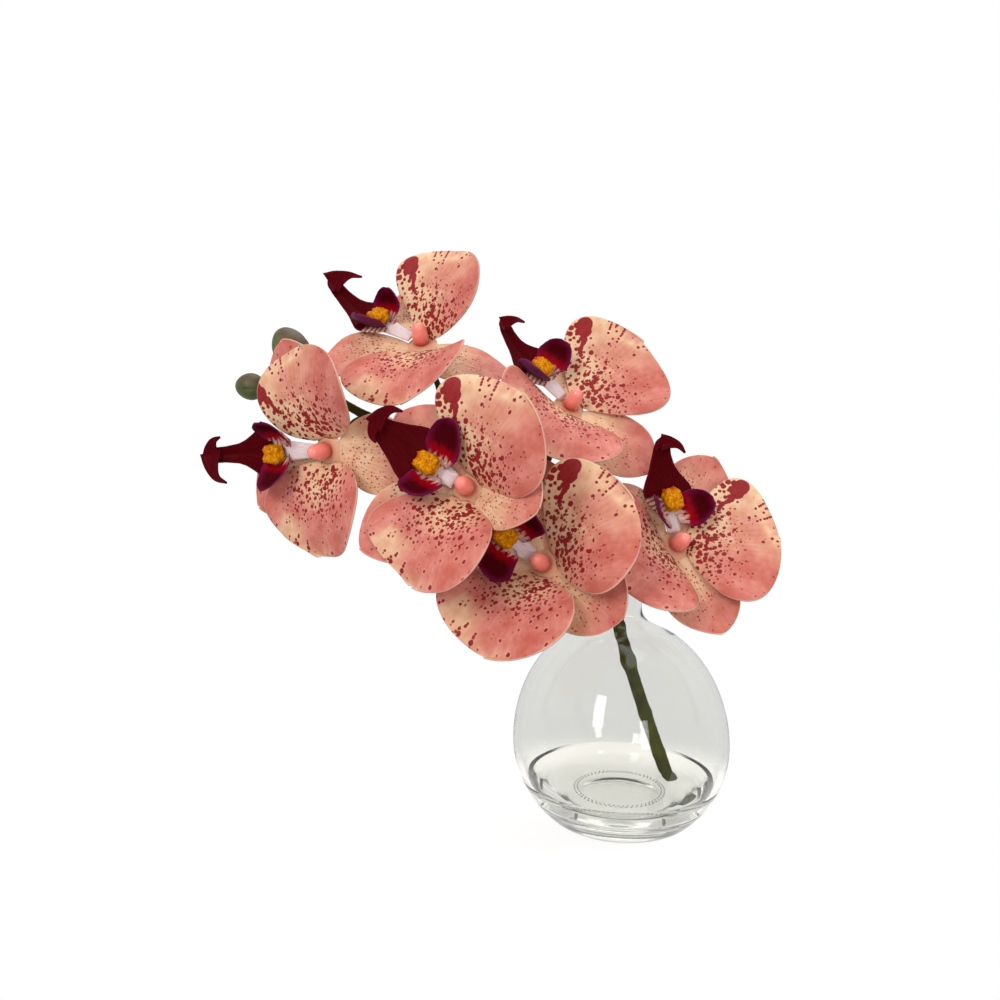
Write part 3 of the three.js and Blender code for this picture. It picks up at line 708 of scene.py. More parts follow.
def blade_tree():
    """A blade of cloth: a grid bent along an arc, cupped across and cut to a rounded outline."""
    tree, bench, given, size = new_tree("orchid_blade", BLADE_SIZES)
    columns, rows = BLADE_GRID
    grid = bench.node("GeometryNodeMeshGrid", {"Size X": 1.0, "Size Y": 1.0,
                                               "Vertices X": columns, "Vertices Y": rows})
    grid_x, grid_y, _ = bench.parts(bench.node("GeometryNodeInputPosition"))

    # The outline: t runs from side to side, and s from root to tip with its rows closer there
    t = grid_x * -2.0
    s = 0.03 + (1.0 - (0.5 - grid_y) ** 1.8) * 0.9695
    bow = bench.sum("SINE", (s ** size["rise"]) * math.pi)
    half = size["half_width"] * bow ** size["fullness"]
    side = size["low"] + (t > 0.0) * (size["high"] - size["low"])
    x = t * half * side
    length = size["length"] * size["size"]

    # The arc along the middle
    first = size["base"]
    bend = size["tip"] - first
    sin_p, cos_p = bench.sine_and_cosine(first + bend * s)
    sin_first, cos_first = bench.sine_and_cosine(first)
    out = size["start"] + length * (sin_p - sin_first) / bend
    up = length * (cos_first - cos_p) / bend

    # What lifts the cloth off the arc: cup, ruffled edge, crease and uneven swell
    far = bench.sum("ABSOLUTE", t)
    wave = bench.sum("SINE", size["seed"] + s * 9.0 + t * 1.7)
    ruffle = size["ruffle"] * wave * far ** 3.0 * s
    crease = size["crease"] * bench.sum("EXPONENT", x * x * -0.35) * (1.05 - s)
    noise_place = bench.vector(x * 0.09 + size["seed"], s * 3.2)
    swell = (bench.speckle(noise_place, 1.0, 1.0) - 0.5) * 1.1 * far
    lift = size["cup"] * x * x / size["half_width"] + ruffle - crease + swell
    lift = lift + size["thickness"] * 0.5

    # The twist, and the direction that the blade points in
    sin_t, cos_t = bench.sine_and_cosine(size["twist"] * s)
    across = x * cos_t - lift * sin_t
    raised = x * sin_t + lift * cos_t
    radial = out - raised * sin_p
    sin_d, cos_d = bench.sine_and_cosine(size["direction"])
    spot = bench.vector(radial * cos_d - across * sin_d, radial * sin_d + across * cos_d,
                        up + raised * cos_p)

    # The print's place, and the cloth's back and edges
    edge = bench.sum("MINIMUM", (1.0 - far) * half, (1.0 - s) * length)
    print_place = bench.vector(x * size["print_side"], s * size["length"], edge)
    marked = bench.node("GeometryNodeStoreNamedAttribute",
                        {"Geometry": grid, "Name": "print", "Value": print_place},
                        data_type="FLOAT_VECTOR")
    bent = bench.node("GeometryNodeSetPosition", {"Geometry": marked, "Position": spot})
    behind = bench.node("GeometryNodeExtrudeMesh",
                        {"Mesh": bent, "Offset Scale": size["thickness"] * -1.0,
                         "Individual": False}, mode="FACES")
    flagged = bench.node("GeometryNodeStoreNamedAttribute",
                         {"Geometry": behind.outputs["Mesh"], "Selection": behind.outputs["Top"],
                          "Name": "back", "Value": 1.0}, data_type="FLOAT")
    turned = bench.node("GeometryNodeFlipFaces", {"Mesh": flagged})
    closed = bench.node("GeometryNodeMergeByDistance", {"Geometry": bench.joined(bent, turned),
                                                        "Distance": 0.005})
    end_tree(bench, given, closed)
    return tree


def clouds(x, y, scale=1.0, detail=2.0, roughness=0.5):
    """Noise at a place across and along."""
    return x.bench.speckle(x.bench.vector(x, y), scale, detail, roughness)


def printed_cloth(name, paint):
    """Satin cloth with a print. paint(x, y, grain) gives the front's colour."""
    material, bench, shader = new_finish(name)
    _, x, y, edge = bench.mark()
    angle = bench.sum("ARCTAN2", x, y + 6.0)
    streak = clouds(angle * 30.0, y * 0.07, 1.0, 4.0, 0.6)
    colour = (edge.smooth(0.5, 0.1) * 0.5).mix(paint(x, y, streak.smooth(0.35, 0.72)), CUT_EDGE)
    weave = bench.sum("SINE", x * 14.0) * bench.sum("SINE", y * 14.0) * 0.12
    bench.fill(shader, {
        "Base Color": (bench.back() * 0.5).mix(colour, CLOTH_BACK),
        "Roughness": streak.smooth(0.2, 0.8) * 0.16 + 0.47,
        "Specular IOR Level": 0.25,
        "Normal": bench.bump(weave + streak.smooth(0.3, 0.7), 0.35, 0.22),
    })
    return material


def soft_oval(x, y, middle, radii, turn=0.0):
    """1 in the middle of an oval, easing to 0 well beyond its edge."""
    c, s = math.cos(math.radians(turn)), math.sin(math.radians(turn))
    dx, dy = x - middle[0], y - middle[1]
    along = (dx * c + dy * s) / radii[0]
    across = (dy * c - dx * s) / radii[1]
    return x.bench.sum("SQRT", along * along + across * across).smooth(1.4, 0.4)


def wavered(x, y, scale, reach):
    """The same place pushed about by noise, so that no printed edge is exactly round."""
    made = x.bench.node("ShaderNodeTexNoise", {"Vector": x.bench.vector(x, y), "Scale": scale,
                                               "Detail": 2.0})
    right, ahead, _ = x.bench.parts(made.outputs["Color"])
    return x + (right - 0.5) * reach, y + (ahead - 0.5) * reach


def airbrushed(x, y):
    """The place pushed about by broad noise, for soft borders of the washes."""
    return wavered(x, y, 0.11, 13.0)


def distance_to_spots(x, y, spots):
    """Millimetres from the edge of the nearest printed spot, less than 0 inside it."""
    squash = 0.85
    bench = x.bench
    place = bench.vector(x, y * squash)
    groups = []
    for radius, centres in spots.items():
        far = [bench.number("ShaderNodeVectorMath", {0: place, 1: (cx, cy * squash, 0)},
                            output="Value", operation="DISTANCE") for cx, cy in centres]
        groups.append(smallest(*far) - radius)
    return smallest(*groups)


def scattered_dots(x, y, cell, radius, crowd):
    """Fine printed dots, one at most in each cell, where crowd is their share from 0 to 1."""
    bench = x.bench
    made = bench.node("ShaderNodeTexVoronoi", {"Vector": bench.vector(x, y * 0.8),
                                               "Scale": 1 / cell, "Randomness": 0.9},
                      voronoi_dimensions="2D")
    far = Number(bench, made.outputs["Distance"]) * cell
    chance, size, _ = bench.parts(made.outputs["Color"])
    reach = size * radius * 0.9 + radius * 0.55
    return far.smooth(reach + 0.1, reach - 0.1) * (chance < crowd)


def crimson(x, y):
    return clouds(x, y, 0.5).mix(*SPOT_CRIMSONS)


def pinks(x, y):
    """Salmon pink, clouded as cloth dyed by hand is."""
    return clouds(x, y, 0.09, 3.0, 0.6).smooth(0.32, 0.68).mix(*PETAL_PINKS)


def creams(x, y):
    return clouds(y, x, 0.14).smooth(0.3, 0.7).mix(*PETAL_CREAMS)


def spotted(x, y, colour, spots, halo, fine_crowd, bold_crowd, bold_dots):
    """A petal's colour under its printed spots, with their pale halos, and scattered dots."""
    sx, sy = wavered(x, y, 1.0, 0.7)
    near = distance_to_spots(sx, sy, spots)
    colour = (near.smooth(0.9, 0.1) * halo).mix(colour, SPOT_HALO)
    fine = scattered_dots(sx, sy, 1.8, 0.34, fine_crowd * 0.65 + 0.06)
    elsewhere = sx + 9.0
    bold = scattered_dots(elsewhere, sy, *bold_dots, bold_crowd)
    ink = largest(near.smooth(0.14, -0.1), fine * 0.9, bold)
    return ink.mix(colour, crimson(x, y))


def first_petal(x, y, grain):
    """Cream, with pink down one side, across the middle and at the tip."""
    wx, wy = airbrushed(x, y)
    side = soft_oval(wx, wy, (-19, 28), (21, 25))
    band = soft_oval(wx, wy, (1, 31), (17, 9))
    tip = soft_oval(wx, wy, (12, 47), (12, 5))
    red = largest(band * 0.75, tip * 0.6, side)
    colour = red.mix(creams(x, y), pinks(x, y))
    colour = (grain * (red * 0.35 + 0.12)).mix(colour, (196, 104, 86))
    fine_crowd = soft_oval(x, y, (-1, 15), (23, 17))
    bold_crowd = soft_oval(x, y, (1, 12), (17, 13)) * 0.85
    return spotted(x, y, colour, FIRST_PETAL_SPOTS, red * 0.15, fine_crowd, bold_crowd,
                   (2.7, 0.74))


def second_petal(x, y, grain):
    """Pink, with cream at the root, at the far end and on one side."""
    wx, wy = airbrushed(x, y)
    base = soft_oval(wx, wy, (-1, 9), (13, 14))
    outer = (wy - wx * 0.3).smooth(38.0, 50.0)
    side = soft_oval(wx, wy, (-19, 38), (12, 8), -30)
    pale = largest(base, outer * 0.8, side * 0.9)
    colour = (pale * 0.92).mix(pinks(x, y), creams(x, y))
    colour = (grain * (0.42 - pale * 0.25)).mix(colour, (196, 104, 88))
    fine_crowd = soft_oval(x, y, (-2, 16), (21, 17))
    bold_crowd = soft_oval(x, y, (0, 13), (17, 13)) * 0.75
    return spotted(x, y, colour, SECOND_PETAL_SPOTS, 0.15 - pale * 0.15, fine_crowd, bold_crowd,
                   (2.6, 0.68))


def top_sepal(x, y, grain):
    wx, wy = airbrushed(x, y)
    red = (wy + wx * 0.6).smooth(10.0, 36.0)
    colour = red.mix(creams(x, y), pinks(x, y))
    colour = (grain * 0.35).mix(colour, (196, 108, 88))
    sx, sy = wavered(x, y, 1.1, 0.9)
    crowd = soft_oval(x, y, (-6, 17), (13, 16)) * 0.7 + 0.04
    fine = scattered_dots(sx, sy, 1.6, 0.3, crowd)
    return (fine * 0.9).mix(colour, crimson(x, y))


def side_sepal(x, y, grain):
    """The half towards the lip is pale and thickly dotted; the midrib parts it from the other."""
    _, wy = airbrushed(x, y)
    lip_half = (x + grain * 0.8).smooth(-0.8, 1.2)
    red = largest(wy.smooth(14.0, 38.0), 0.55 - lip_half * 0.45)
    colour = red.mix(creams(x, y), pinks(x, y))
    colour = (grain * 0.3).mix(colour, (198, 112, 92))
    sx, sy = wavered(x, y, 1.1, 0.9)
    crowd = (lip_half * 0.65 + 0.2) * soft_oval(x, y, (3, 19), (13, 16)) + 0.04
    fine = scattered_dots(sx, sy, 1.55, 0.3, crowd)
    bold_crowd = soft_oval(x, y, (-3, 12), (8, 9)) * 0.5
    bold = scattered_dots(sx + 7.0, sy, 2.8, 0.45, bold_crowd)
    return largest(fine * 0.9, bold).mix(colour, crimson(x, y))


def throat(x, y, _):
    # Darker and redder close to the column's foot: partly the throat's own tone, partly painted
    # shade from the column
    return x.bench.sum("SQRT", x * x + y * y).smooth(3.0, 5.6).mix(*THROAT_SHADE_AND_CREAM)


# Lip, callus and column

LIP_LINE = Line([(0, -15, 6.4), (0, -23, 8), (0, -33, 9.4), (0, -42, 11.6), (0, -49, 14.5)])
SLIM_LIP = [(0, 4.6), (0.12, 8.2), (0.24, 10.6), (0.33, 10.9), (0.41, 9.8), (0.5, 6.8),
            (0.58, 4.6), (0.66, 3.4), (0.8, 3), (0.92, 3.2), (1, 2.2)]
FULL_LIP = [(0, 4.6), (0.12, 8.6), (0.24, 11.4), (0.36, 12.4), (0.5, 10.6), (0.64, 8), (0.8, 5.6),
            (0.92, 4.4), (1, 2.4)]
CLAW_ROOT = Vector((0, -5.1, 3.1))
CLAW_REACH = Vector((0, -12.9, 4.1))
LOBE_LINE = ((2.6, 0, 0, 0), (6.4, -0.2, 3, 0), (9, -0.4, 7.8, 1), (10, -0.4, 13.4, 2))
LOBE_WIDTHS = [(0, 4.4), (0.15, 6), (0.3, 7.2), (0.45, 8), (0.6, 8.2), (0.75, 7.6), (0.87, 6),
               (0.95, 3.9), (1, 1.6)]
HORN_LINE = [(-1.5, -0.6, 0), (3.4, 0.5, 1.6), (7.2, 3.4, 3.8), (9, 8.4, 5.8)]
HORN_ROOT = 3.7
HORN_TIP = 0.4
BEND_FROM = 18
BEND_LENGTH = 31
CLAW_HALF_WIDTH = 2.9
CLAW_SPREAD = 1.7
HORN_SEAT = (0.4, -47.6, 13.8)
CALLUS_MIDDLE = Vector((0, -20.8, 11.4))
CALLUS_RADII = (4.2, 4.9, 3.1)
RIGHT = Vector((1, 0, 0))
UP = Vector((0, 0, 1))


def reaching(surface, shape):
    """Each lip reaches out, lifts its nose and swings to one side by its own amount."""
    def moved(s, t):
        point = surface(s, t)
        share = (-point.y - BEND_FROM) / BEND_LENGTH
        if share > 0:
            point.x -= shape["swing"] * share
            point.y = -BEND_FROM - BEND_LENGTH * share * shape["reach"]
            point.z += shape["lift"] * share ** 3
        return point
    return moved


def side_lobe(sign, open_by, place, finish):
    """A lobe that stands on the lip and leans outwards, with a wavy rim."""
    root = 6.4 - 0.15 * (place + 15.6)
    line = Line([(sign * (across + spread * open_by), place + along, root + above)
                 for across, along, above, spread in LOBE_LINE])
    side = Vector((0, sign, 0.12 * sign)).normalized()
    outward = Vector((0.86 * sign, 0, -0.5))
    seed = place + 2 * sign + open_by

    def width(s):
        return table_value(LOBE_WIDTHS, s) * (1 + 0.07 * math.sin(9 * s + seed))

    smooth = strip(line, width, lambda s, along: side, 0.025)

    def waved(s, t):
        wave = math.sin(5 * s + 2.4 * t + seed) * t * t * s
        return smooth(s, t) + outward * (0.9 * wave)

    return sheet("side_lobe", waved, 31, 21, finish)


def horn(sign, size, shape, finish):
    across, ahead, above = HORN_SEAT
    line = Line([(sign * (across + x * size), y * size + ahead, z * size + above)
                 for x, y, z in HORN_LINE])
    root = HORN_ROOT * min(1, 0.4 + 0.6 * size)
    surface = strip(line, lambda s: root * (1 - s) + HORN_TIP,
                    lambda s, along: UP.cross(along).normalized(), 0.03)
    return sheet("horn", reaching(surface, shape), 19, 9, finish)


def drawn_in(near):
    """How what the claw carries moves along it when the claw is shorter."""
    return Matrix.Translation(CLAW_REACH * (near / CLAW_REACH.y))


def lip_pieces(shape, finishes):
    full = shape["full"]

    def width(s):
        return table_value(SLIM_LIP, s) * (1 - full) + table_value(FULL_LIP, s) * full

    def across(s, along):
        return RIGHT

    claw_line = Line([CLAW_ROOT, CLAW_ROOT + CLAW_REACH * (1 + shape["near"] / CLAW_REACH.y)])
    claw = sheet("claw", strip(claw_line, lambda s: CLAW_HALF_WIDTH + CLAW_SPREAD * s, across,
                               -0.025), 13, 9, finishes["claw"])
    middle = sheet("middle_lobe", reaching(strip(LIP_LINE, width, across, 0.012, keel=0.5), shape),
                   45, 17, finishes["middle"])
    lobes = [side_lobe(sign, open_by, shape["lobes"], finishes["side"])
             for sign, open_by in zip((-1, 1), shape["open"])]
    horns = [horn(sign, size, shape, finishes["horn"])
             for sign, size in zip((-1, 1), shape["horns"])]
    for piece in [middle] + lobes + horns:
        piece.data.transform(drawn_in(shape["near"]))
    return [claw, middle] + lobes + horns


def lip_turn(angle):
    """The turn of a whole lip, and what stands on it, about the claw's root."""
    return (Matrix.Translation(CLAW_ROOT) @ Matrix.Rotation(math.radians(-angle), 4, "X")
            @ Matrix.Translation(-CLAW_ROOT))


def lip_cloth(name, paint, roughness=0.35):
    """Fibrous cloth. paint(x, y, edge, back, fibre) gives its colour."""
    material, bench, shader = new_finish(name)
    _, x, y, edge = bench.mark()
    fibre = clouds(x * 1.6, y * 0.25, 1.0, 3.0, 0.65)
    bench.fill(shader, {
        "Base Color": paint(x, y, edge, bench.back(), fibre),
        "Roughness": fibre.smooth(0.3, 0.7) * 0.2 + roughness,
        "Specular IOR Level": 0.02,
        "Normal": bench.bump(fibre, 0.35, 0.25),
    })
    return material


def horn_paint(x, y, edge, back, fibre):
    colour = fibre.smooth(0.35, 0.75).mix((74, 2, 8), (98, 8, 20))
    return (back * 0.5).mix(colour, LIP_BACK)


def middle_lobe_paint(x, y, edge, back, fibre):
    """Wine red, with a pale striped patch where the callus stands."""
    colour = fibre.smooth(0.35, 0.75).mix((72, 2, 6), (90, 4, 14))
    colour = ((edge + fibre).smooth(1.6, 0.4) * 0.4).mix(colour, (98, 14, 38))
    stripes = x.bench.sum("SINE", y * 3.0 + x * 0.8 + fibre * 7.0).smooth(0.1, 0.6)
    patch = (stripes * 0.9).mix((238, 200, 180), (166, 10, 26))
    colour = (y + fibre * 4.0).smooth(11.6, 9.0).mix(colour, patch)
    return (back * 0.6).mix(colour, LIP_BACK)


def side_lobe_paint(x, y, edge, back, fibre):
    """Cream and striped at the root, then crimson, then dark wine, with a broad purple rim."""
    cloud = clouds(x * 0.5, y * 0.3)
    stripes = x.bench.sum("SINE", x * 2.2 + y * 0.9 + cloud * 14.0).smooth(0.0, 0.6)
    root = (stripes * y.smooth(0.6, 3.6)).mix((238, 198, 180), (170, 10, 28))
    reach = y + fibre * 2.0 + cloud * 5.0
    colour = reach.smooth(5.8, 8.6).mix(root, (158, 4, 22))
    colour = reach.smooth(8.4, 13.8).mix(colour, (72, 2, 12))
    colour = ((edge + fibre * 2.6).smooth(5.2, 1.0) * 0.6).mix(colour, (122, 20, 66))
    return back.mix(colour, fibre.mix((88, 26, 66), (138, 58, 104)))


def claw_paint(x, y, edge, back, fibre):
    colour = fibre.smooth(0.3, 0.7).mix((240, 224, 222), (222, 194, 198))
    return (y + fibre * 2.0).smooth(2.6, 0.6).mix(colour, (232, 176, 164))


def callus_lump(name, lip_shape, finish):
    """A blocky crest in two lobes, with ragged crumbs on the side of the nose."""
    wide, deep, high = CALLUS_RADII
    shape = bmesh.new()
    bmesh.ops.create_icosphere(shape, subdivisions=4, radius=1.0)
    for vert in shape.verts:
        x, y, z = vert.co
        block = (abs(x) ** 5 + abs(y) ** 5 + abs(z) ** 5) ** -0.2
        rough = noise.noise(Vector((x, y, z)) * 1.9) * 0.16
        crumb = noise.noise(Vector((x, y, z)) * 6.5) * 0.34 * max(0.0, -y - 0.1)
        groove = 0.34 * math.exp(-x * x * 26) * max(z, 0.0)
        swell = (0.35 + 0.65 * block) * (1 + rough + crumb - groove)
        vert.co = Vector((x * wide, y * deep, max(z, -0.7) * high)) * swell
    bmesh.ops.recalc_face_normals(shape, faces=shape.faces)
    marks = [v.co + CALLUS_MIDDLE for v in shape.verts]
    seat = drawn_in(lip_shape["near"]) @ Matrix.Translation((lip_shape["crest"], 0, 0))
    points = [seat @ mark for mark in marks]
    faces = [[v.index for v in face.verts] for face in shape.faces]
    shape.free()
    return cast(name, points, faces, finish, marks)


def callus_finish():
    material, bench, shader = new_finish("callus_gold")
    mark, x, y, z = bench.mark()
    grain = bench.speckle(mark, 0.9, 3.0, 0.6)
    colour = grain.smooth(0.3, 0.7).mix(*CALLUS_GOLDS)
    dots = scattered_dots(x + z, y, 1.1, 0.2, 0.3)
    colour = (dots * 0.7).mix(colour, (168, 60, 4))
    nose = (y + grain * 5.0).smooth(-20.0, -23.0)
    colour = (nose * 0.9).mix(colour, (198, 76, 2))
    bench.fill(shader, {
        # Darker and redder at the foot, where the callus sits on the lip: painted shade
        "Base Color": z.smooth(10.2, 8.8).mix(colour, (140, 36, 10)),
        "Roughness": 0.5 + grain * 0.1,
        "Specular IOR Level": 0.06,
        "Normal": bench.bump(grain, 0.4, 0.3),
    })
    return material


def column_finish():
    material, bench, shader = new_finish("column_pink", 0.92)
    mark, _, _, z = bench.mark()
    grain = bench.speckle(mark, 0.35)
    bench.fill(shader, {
        # Darker towards the foot: partly the column's own coral, partly painted shade low in the
        # throat
        "Base Color": (z + grain * 2.0).smooth(2.5, 9.5).mix(*COLUMN_PINKS_AND_FOOT_SHADE),
        "Roughness": grain * 0.12 + 0.2,
        "Coat Weight": 0.4,
        "Normal": bench.bump(bench.speckle(mark, 1.2), 0.2, 0.2),
    })
    return material


# Blooms

PRINTS = {"first_petal": first_petal, "second_petal": second_petal, "top_sepal": top_sepal,
          "side_sepal": side_sepal}

# The petals and then the sepals of a bloom: form, print, and 1 or -1 for a mirrored print
BLADE_ROWS = (
    (PETAL, "first_petal", 1.0), (PETAL, "second_petal", 1.0), (SEPAL, "top_sepal", 1.0),
    (SEPAL, "side_sepal", 1.0), (SEPAL, "side_sepal", -1.0),
)


def bloom_finishes():
    finishes = {name: printed_cloth(f"{name}_print", paint) for name, paint in PRINTS.items()}
    finishes["throat"] = printed_cloth("throat_cream", throat)
    finishes["claw"] = lip_cloth("lip_claw_lilac", claw_paint, 0.3)
    finishes["middle"] = lip_cloth("lip_wine", middle_lobe_paint)
    finishes["horn"] = lip_cloth("lip_horn_wine", horn_paint)
    finishes["side"] = lip_cloth("lip_side_lobe", side_lobe_paint)
    finishes["callus"] = callus_finish()
    finishes["column"] = column_finish()
    return finishes


def bloom_place(bloom):
    """Where a bloom that looks up at +Z from the origin stands on the spray."""
    return (Matrix.Translation(bloom["hub"])
            @ Matrix.Rotation(math.radians(bloom["turn"]), 4, "Z")
            @ Matrix.Rotation(math.radians(90 + bloom["lean"]), 4, "X"))


def cloth_blade(tree, shape, finish, print_side, seed):
    inputs = shape | {name: math.radians(shape[name]) for name in BLADE_ANGLES}
    inputs |= {"start": BLADE_START, "thickness": CLOTH, "print_side": print_side, "seed": seed,
               "Finish": finish}
    return grown("blade", tree, inputs)


def bloom_petals(number, bloom, tree, finishes):
    """The petals and sepals of one bloom about its hub."""
    specs = bloom["petals"] + bloom["sepals"]
    parts = [cloth_blade(tree, form | spec, finishes[cloth], print_side, number * 1.9 + k * 0.7)
             for k, ((form, cloth, print_side), spec) in enumerate(zip(BLADE_ROWS, specs))]
    hub = [(0, HUB_BACK)] + rounded(HUB_PROFILE, 4) + [(0, HUB_FRONT)]
    parts.append(lathe("hub", hub, 40, finishes["throat"]))
    return joined(f"bloom_{number}_petals", parts)


def column_knob(name, finish):
    foot = HUB_FRONT + SEAT_GAP
    profile = [(r, z + foot) for r, z in [(0, 0)] + rounded(COLUMN_PROFILE, 4)]
    return lathe(name, profile, 36, finish)


def make_blooms():
    tree = blade_tree()
    finishes = bloom_finishes()
    for number, bloom in enumerate(BLOOMS, start=1):
        name = f"bloom_{number}"
        place = bloom_place(bloom) @ Matrix.Rotation(math.radians(bloom["roll"]), 4, "Z")
        lip_place = place @ lip_turn(bloom["lip"]["rise"])
        petals = bloom_petals(number, bloom, tree, finishes)
        lip = joined(f"{name}_lip_lobes", lip_pieces(bloom["lip"], finishes))
        crest = callus_lump(f"{name}_callus_crest", bloom["lip"], finishes["callus"])
        knob = column_knob(f"{name}_column_knob", finishes["column"])
        for piece, where in ((petals, place), (lip, lip_place), (crest, lip_place), (knob, place)):
            settle(piece, where)
        hand_over(petals, "petal_print", f"{name}_tepals")
        hand_over(lip, "lip_wine", f"{name}_lip")
        hand_over(crest, "callus_gold", f"{name}_callus")
        hand_over(knob, "column_pink", f"{name}_column")


# Stem and buds

def twig_tree():
    """A rod along a line, thicker at its knots, with a rough bark and closed ends."""
    tree, bench, given, size = new_tree("orchid_twig", ("Start radius", "End radius"))
    ring = bench.node("GeometryNodeCurvePrimitiveCircle", {"Resolution": 20, "Radius": 1.0})
    line = bench.node("GeometryNodeResampleCurve",
                      {"Curve": given.outputs["Geometry"], "Length": 0.9}, mode="LENGTH")
    share = bench.number("GeometryNodeSplineParameter", output="Factor")
    knot = bench.number("GeometryNodeInputRadius")
    radius = size["Start radius"] + (size["End radius"] - size["Start radius"]) * share + knot
    rod = bench.node("GeometryNodeCurveToMesh", {"Curve": line, "Profile Curve": ring,
                                                 "Scale": radius, "Fill Caps": True})
    bumps = bench.speckle(bench.node("GeometryNodeInputPosition"), 0.55, 3.0) - 0.5
    normal = bench.node("GeometryNodeInputNormal")
    push = bench.node("ShaderNodeVectorMath", {0: normal, "Scale": bumps * BARK_DEPTH},
                      operation="SCALE")
    end_tree(bench, given, bench.node("GeometryNodeSetPosition", {"Geometry": rod,
                                                                  "Offset": push}))
    return tree


def twig(tree, points, start, end, finish, knots=()):
    """One rod through points in millimetres; knots are (place, extra radius, half length)."""
    data = bpy.data.curves.new("twig", "CURVE")
    data.dimensions = "3D"
    spline = data.splines.new("POLY")
    spline.points.add(len(points) - 1)
    for spot, point in zip(spline.points, points):
        spot.co = (*point, 1.0)
        spot.radius = sum(extra * math.exp(-((point - middle).length / half) ** 2)
                          for middle, extra, half in knots)
    return grown("twig", tree, {"Start radius": start, "End radius": end, "Finish": finish},
                 new_object("twig", data))


def stem_finish():
    material, bench, shader = new_finish("stem_olive")
    place = bench.place()
    blotch = bench.speckle(place, 90.0, 3.0, 0.6)
    grain = bench.speckle(place, 700.0, 2.0, 0.7)
    colour = blotch.smooth(0.3, 0.7).mix(*STEM_OLIVES)
    bench.fill(shader, {
        "Base Color": (grain.smooth(0.5, 0.8) * 0.6).mix(colour, (70, 50, 10)),
        "Roughness": grain * 0.2 + 0.48,
        "Specular IOR Level": 0.12,
        "Normal": bench.bump(grain, 0.6, 0.4),
    })
    return material


def bud_finish():
    material, bench, shader = new_finish("bud_green")
    mark, x, _, _ = bench.mark()
    cloud = bench.speckle(mark, 0.16, 3.0, 0.6)
    grain = bench.speckle(mark, 1.4, 2.0, 0.6)
    flush = (x + cloud * 8.0).smooth(1.0, 6.0) * 0.7
    bench.fill(shader, {
        "Base Color": flush.mix(cloud.smooth(0.3, 0.7).mix(*BUD_GREENS), (90, 56, 34)),
        "Roughness": grain * 0.2 + 0.42,
        "Normal": bench.bump(grain, 0.35, 0.4),
    })
    return material


def stalk(tree, bloom, leaves, past, finish):
    """From the stem's point at leaves, past a point, to the back of a bloom."""
    place = bloom_place(bloom)
    before = place @ Vector((0, 0, HUB_BACK - SEAT_GAP - 4))
    end = place @ Vector((0, 0, HUB_BACK - 0.1))
    line = Line([leaves, past, before, end])
    knots = [(leaves, 0.7, 3.0), (line.at(0.42), 0.5, 1.2), (end, 0.9, 2.0)]
    return twig(tree, line.many(STALK_POINTS), STALK_RADIUS + 0.1, STALK_RADIUS, finish, knots)


def bud_stalk(tree, leaves, finish):
    """From the stem to the base of the upper bud, straight into it at the end."""
    base, tip = (Vector(point) for point in BUDS[0][1:3])
    before = base - (tip - base).normalized() * 3.3
    points = Line([leaves, before, base]).many(24)
    return twig(tree, points, STALK_RADIUS, STALK_RADIUS, finish, [(base, 1.0, 1.6)])


def make_stem():
    tree = twig_tree()
    finish = stem_finish()
    stem = Line(STEM_LINE)
    count = len(STEM_LINE) - 1
    knots = [(stem.at(at / count), size, KNOT_LENGTH) for at, size in KNOTS]
    knots += [(stem.at(at / count), SMALL_KNOT_SIZE, SMALL_KNOT_LENGTH) for at in SMALL_KNOTS]
    parts = [twig(tree, stem.many(STEM_POINTS), STEM_ROOT_RADIUS, STEM_TIP_RADIUS - 0.1, finish,
                  knots)]
    for (leaves, past), bloom in zip(STALKS, BLOOMS):
        parts.append(stalk(tree, bloom, stem.at(leaves / count), past, finish))
    parts.append(bud_stalk(tree, stem.at(BUD_STALK_LEAVES / count), finish))
    tip_end = Vector(BUDS[1][1]) + Vector((-0.4, 0, 0))
    parts.append(twig(tree, [Vector(STEM_LINE[-1]), tip_end], STEM_TIP_RADIUS,
                      STEM_TIP_RADIUS + 0.3, finish))
    piece = joined("flower_stem_skin", parts)
    settle(piece)
    hand_over(piece, "stem_green", "flower_stem")


def bud_seams(length):
    """Three shallow seams down a bud, fading out at both ends."""
    def swell(angle, height):
        share = height / length
        seam = abs(math.sin(angle * 1.5))
        return 1 - 0.07 * math.exp(-seam * seam * 60) * math.sin(math.pi * share) ** 0.5
    return swell


def make_buds():
    finish = bud_finish()
    for name, base, tip, radius in BUDS:
        base, tip = Vector(base), Vector(tip)
        length = (tip - base).length
        profile = rounded([(radius * r, length * z) for r, z in BUD_PROFILE], 6)
        bud = lathe(f"{name}_sepals", [(0, 0)] + profile, 72, finish, bud_seams(length))
        turn = UP.rotation_difference((tip - base).normalized()).to_matrix().to_4x4()
        settle(bud, Matrix.Translation(base) @ turn)
        hand_over(bud, "bud_green", name)


# Vase and water

def body_radius(z, inset):
    height = (LOWER_HEIGHT if z < BODY_MIDDLE else UPPER_HEIGHT) - inset
    share = (z - BODY_MIDDLE) / height
    return (BODY_RADIUS - inset) * math.sqrt(max(0.0, 1 - share * share))


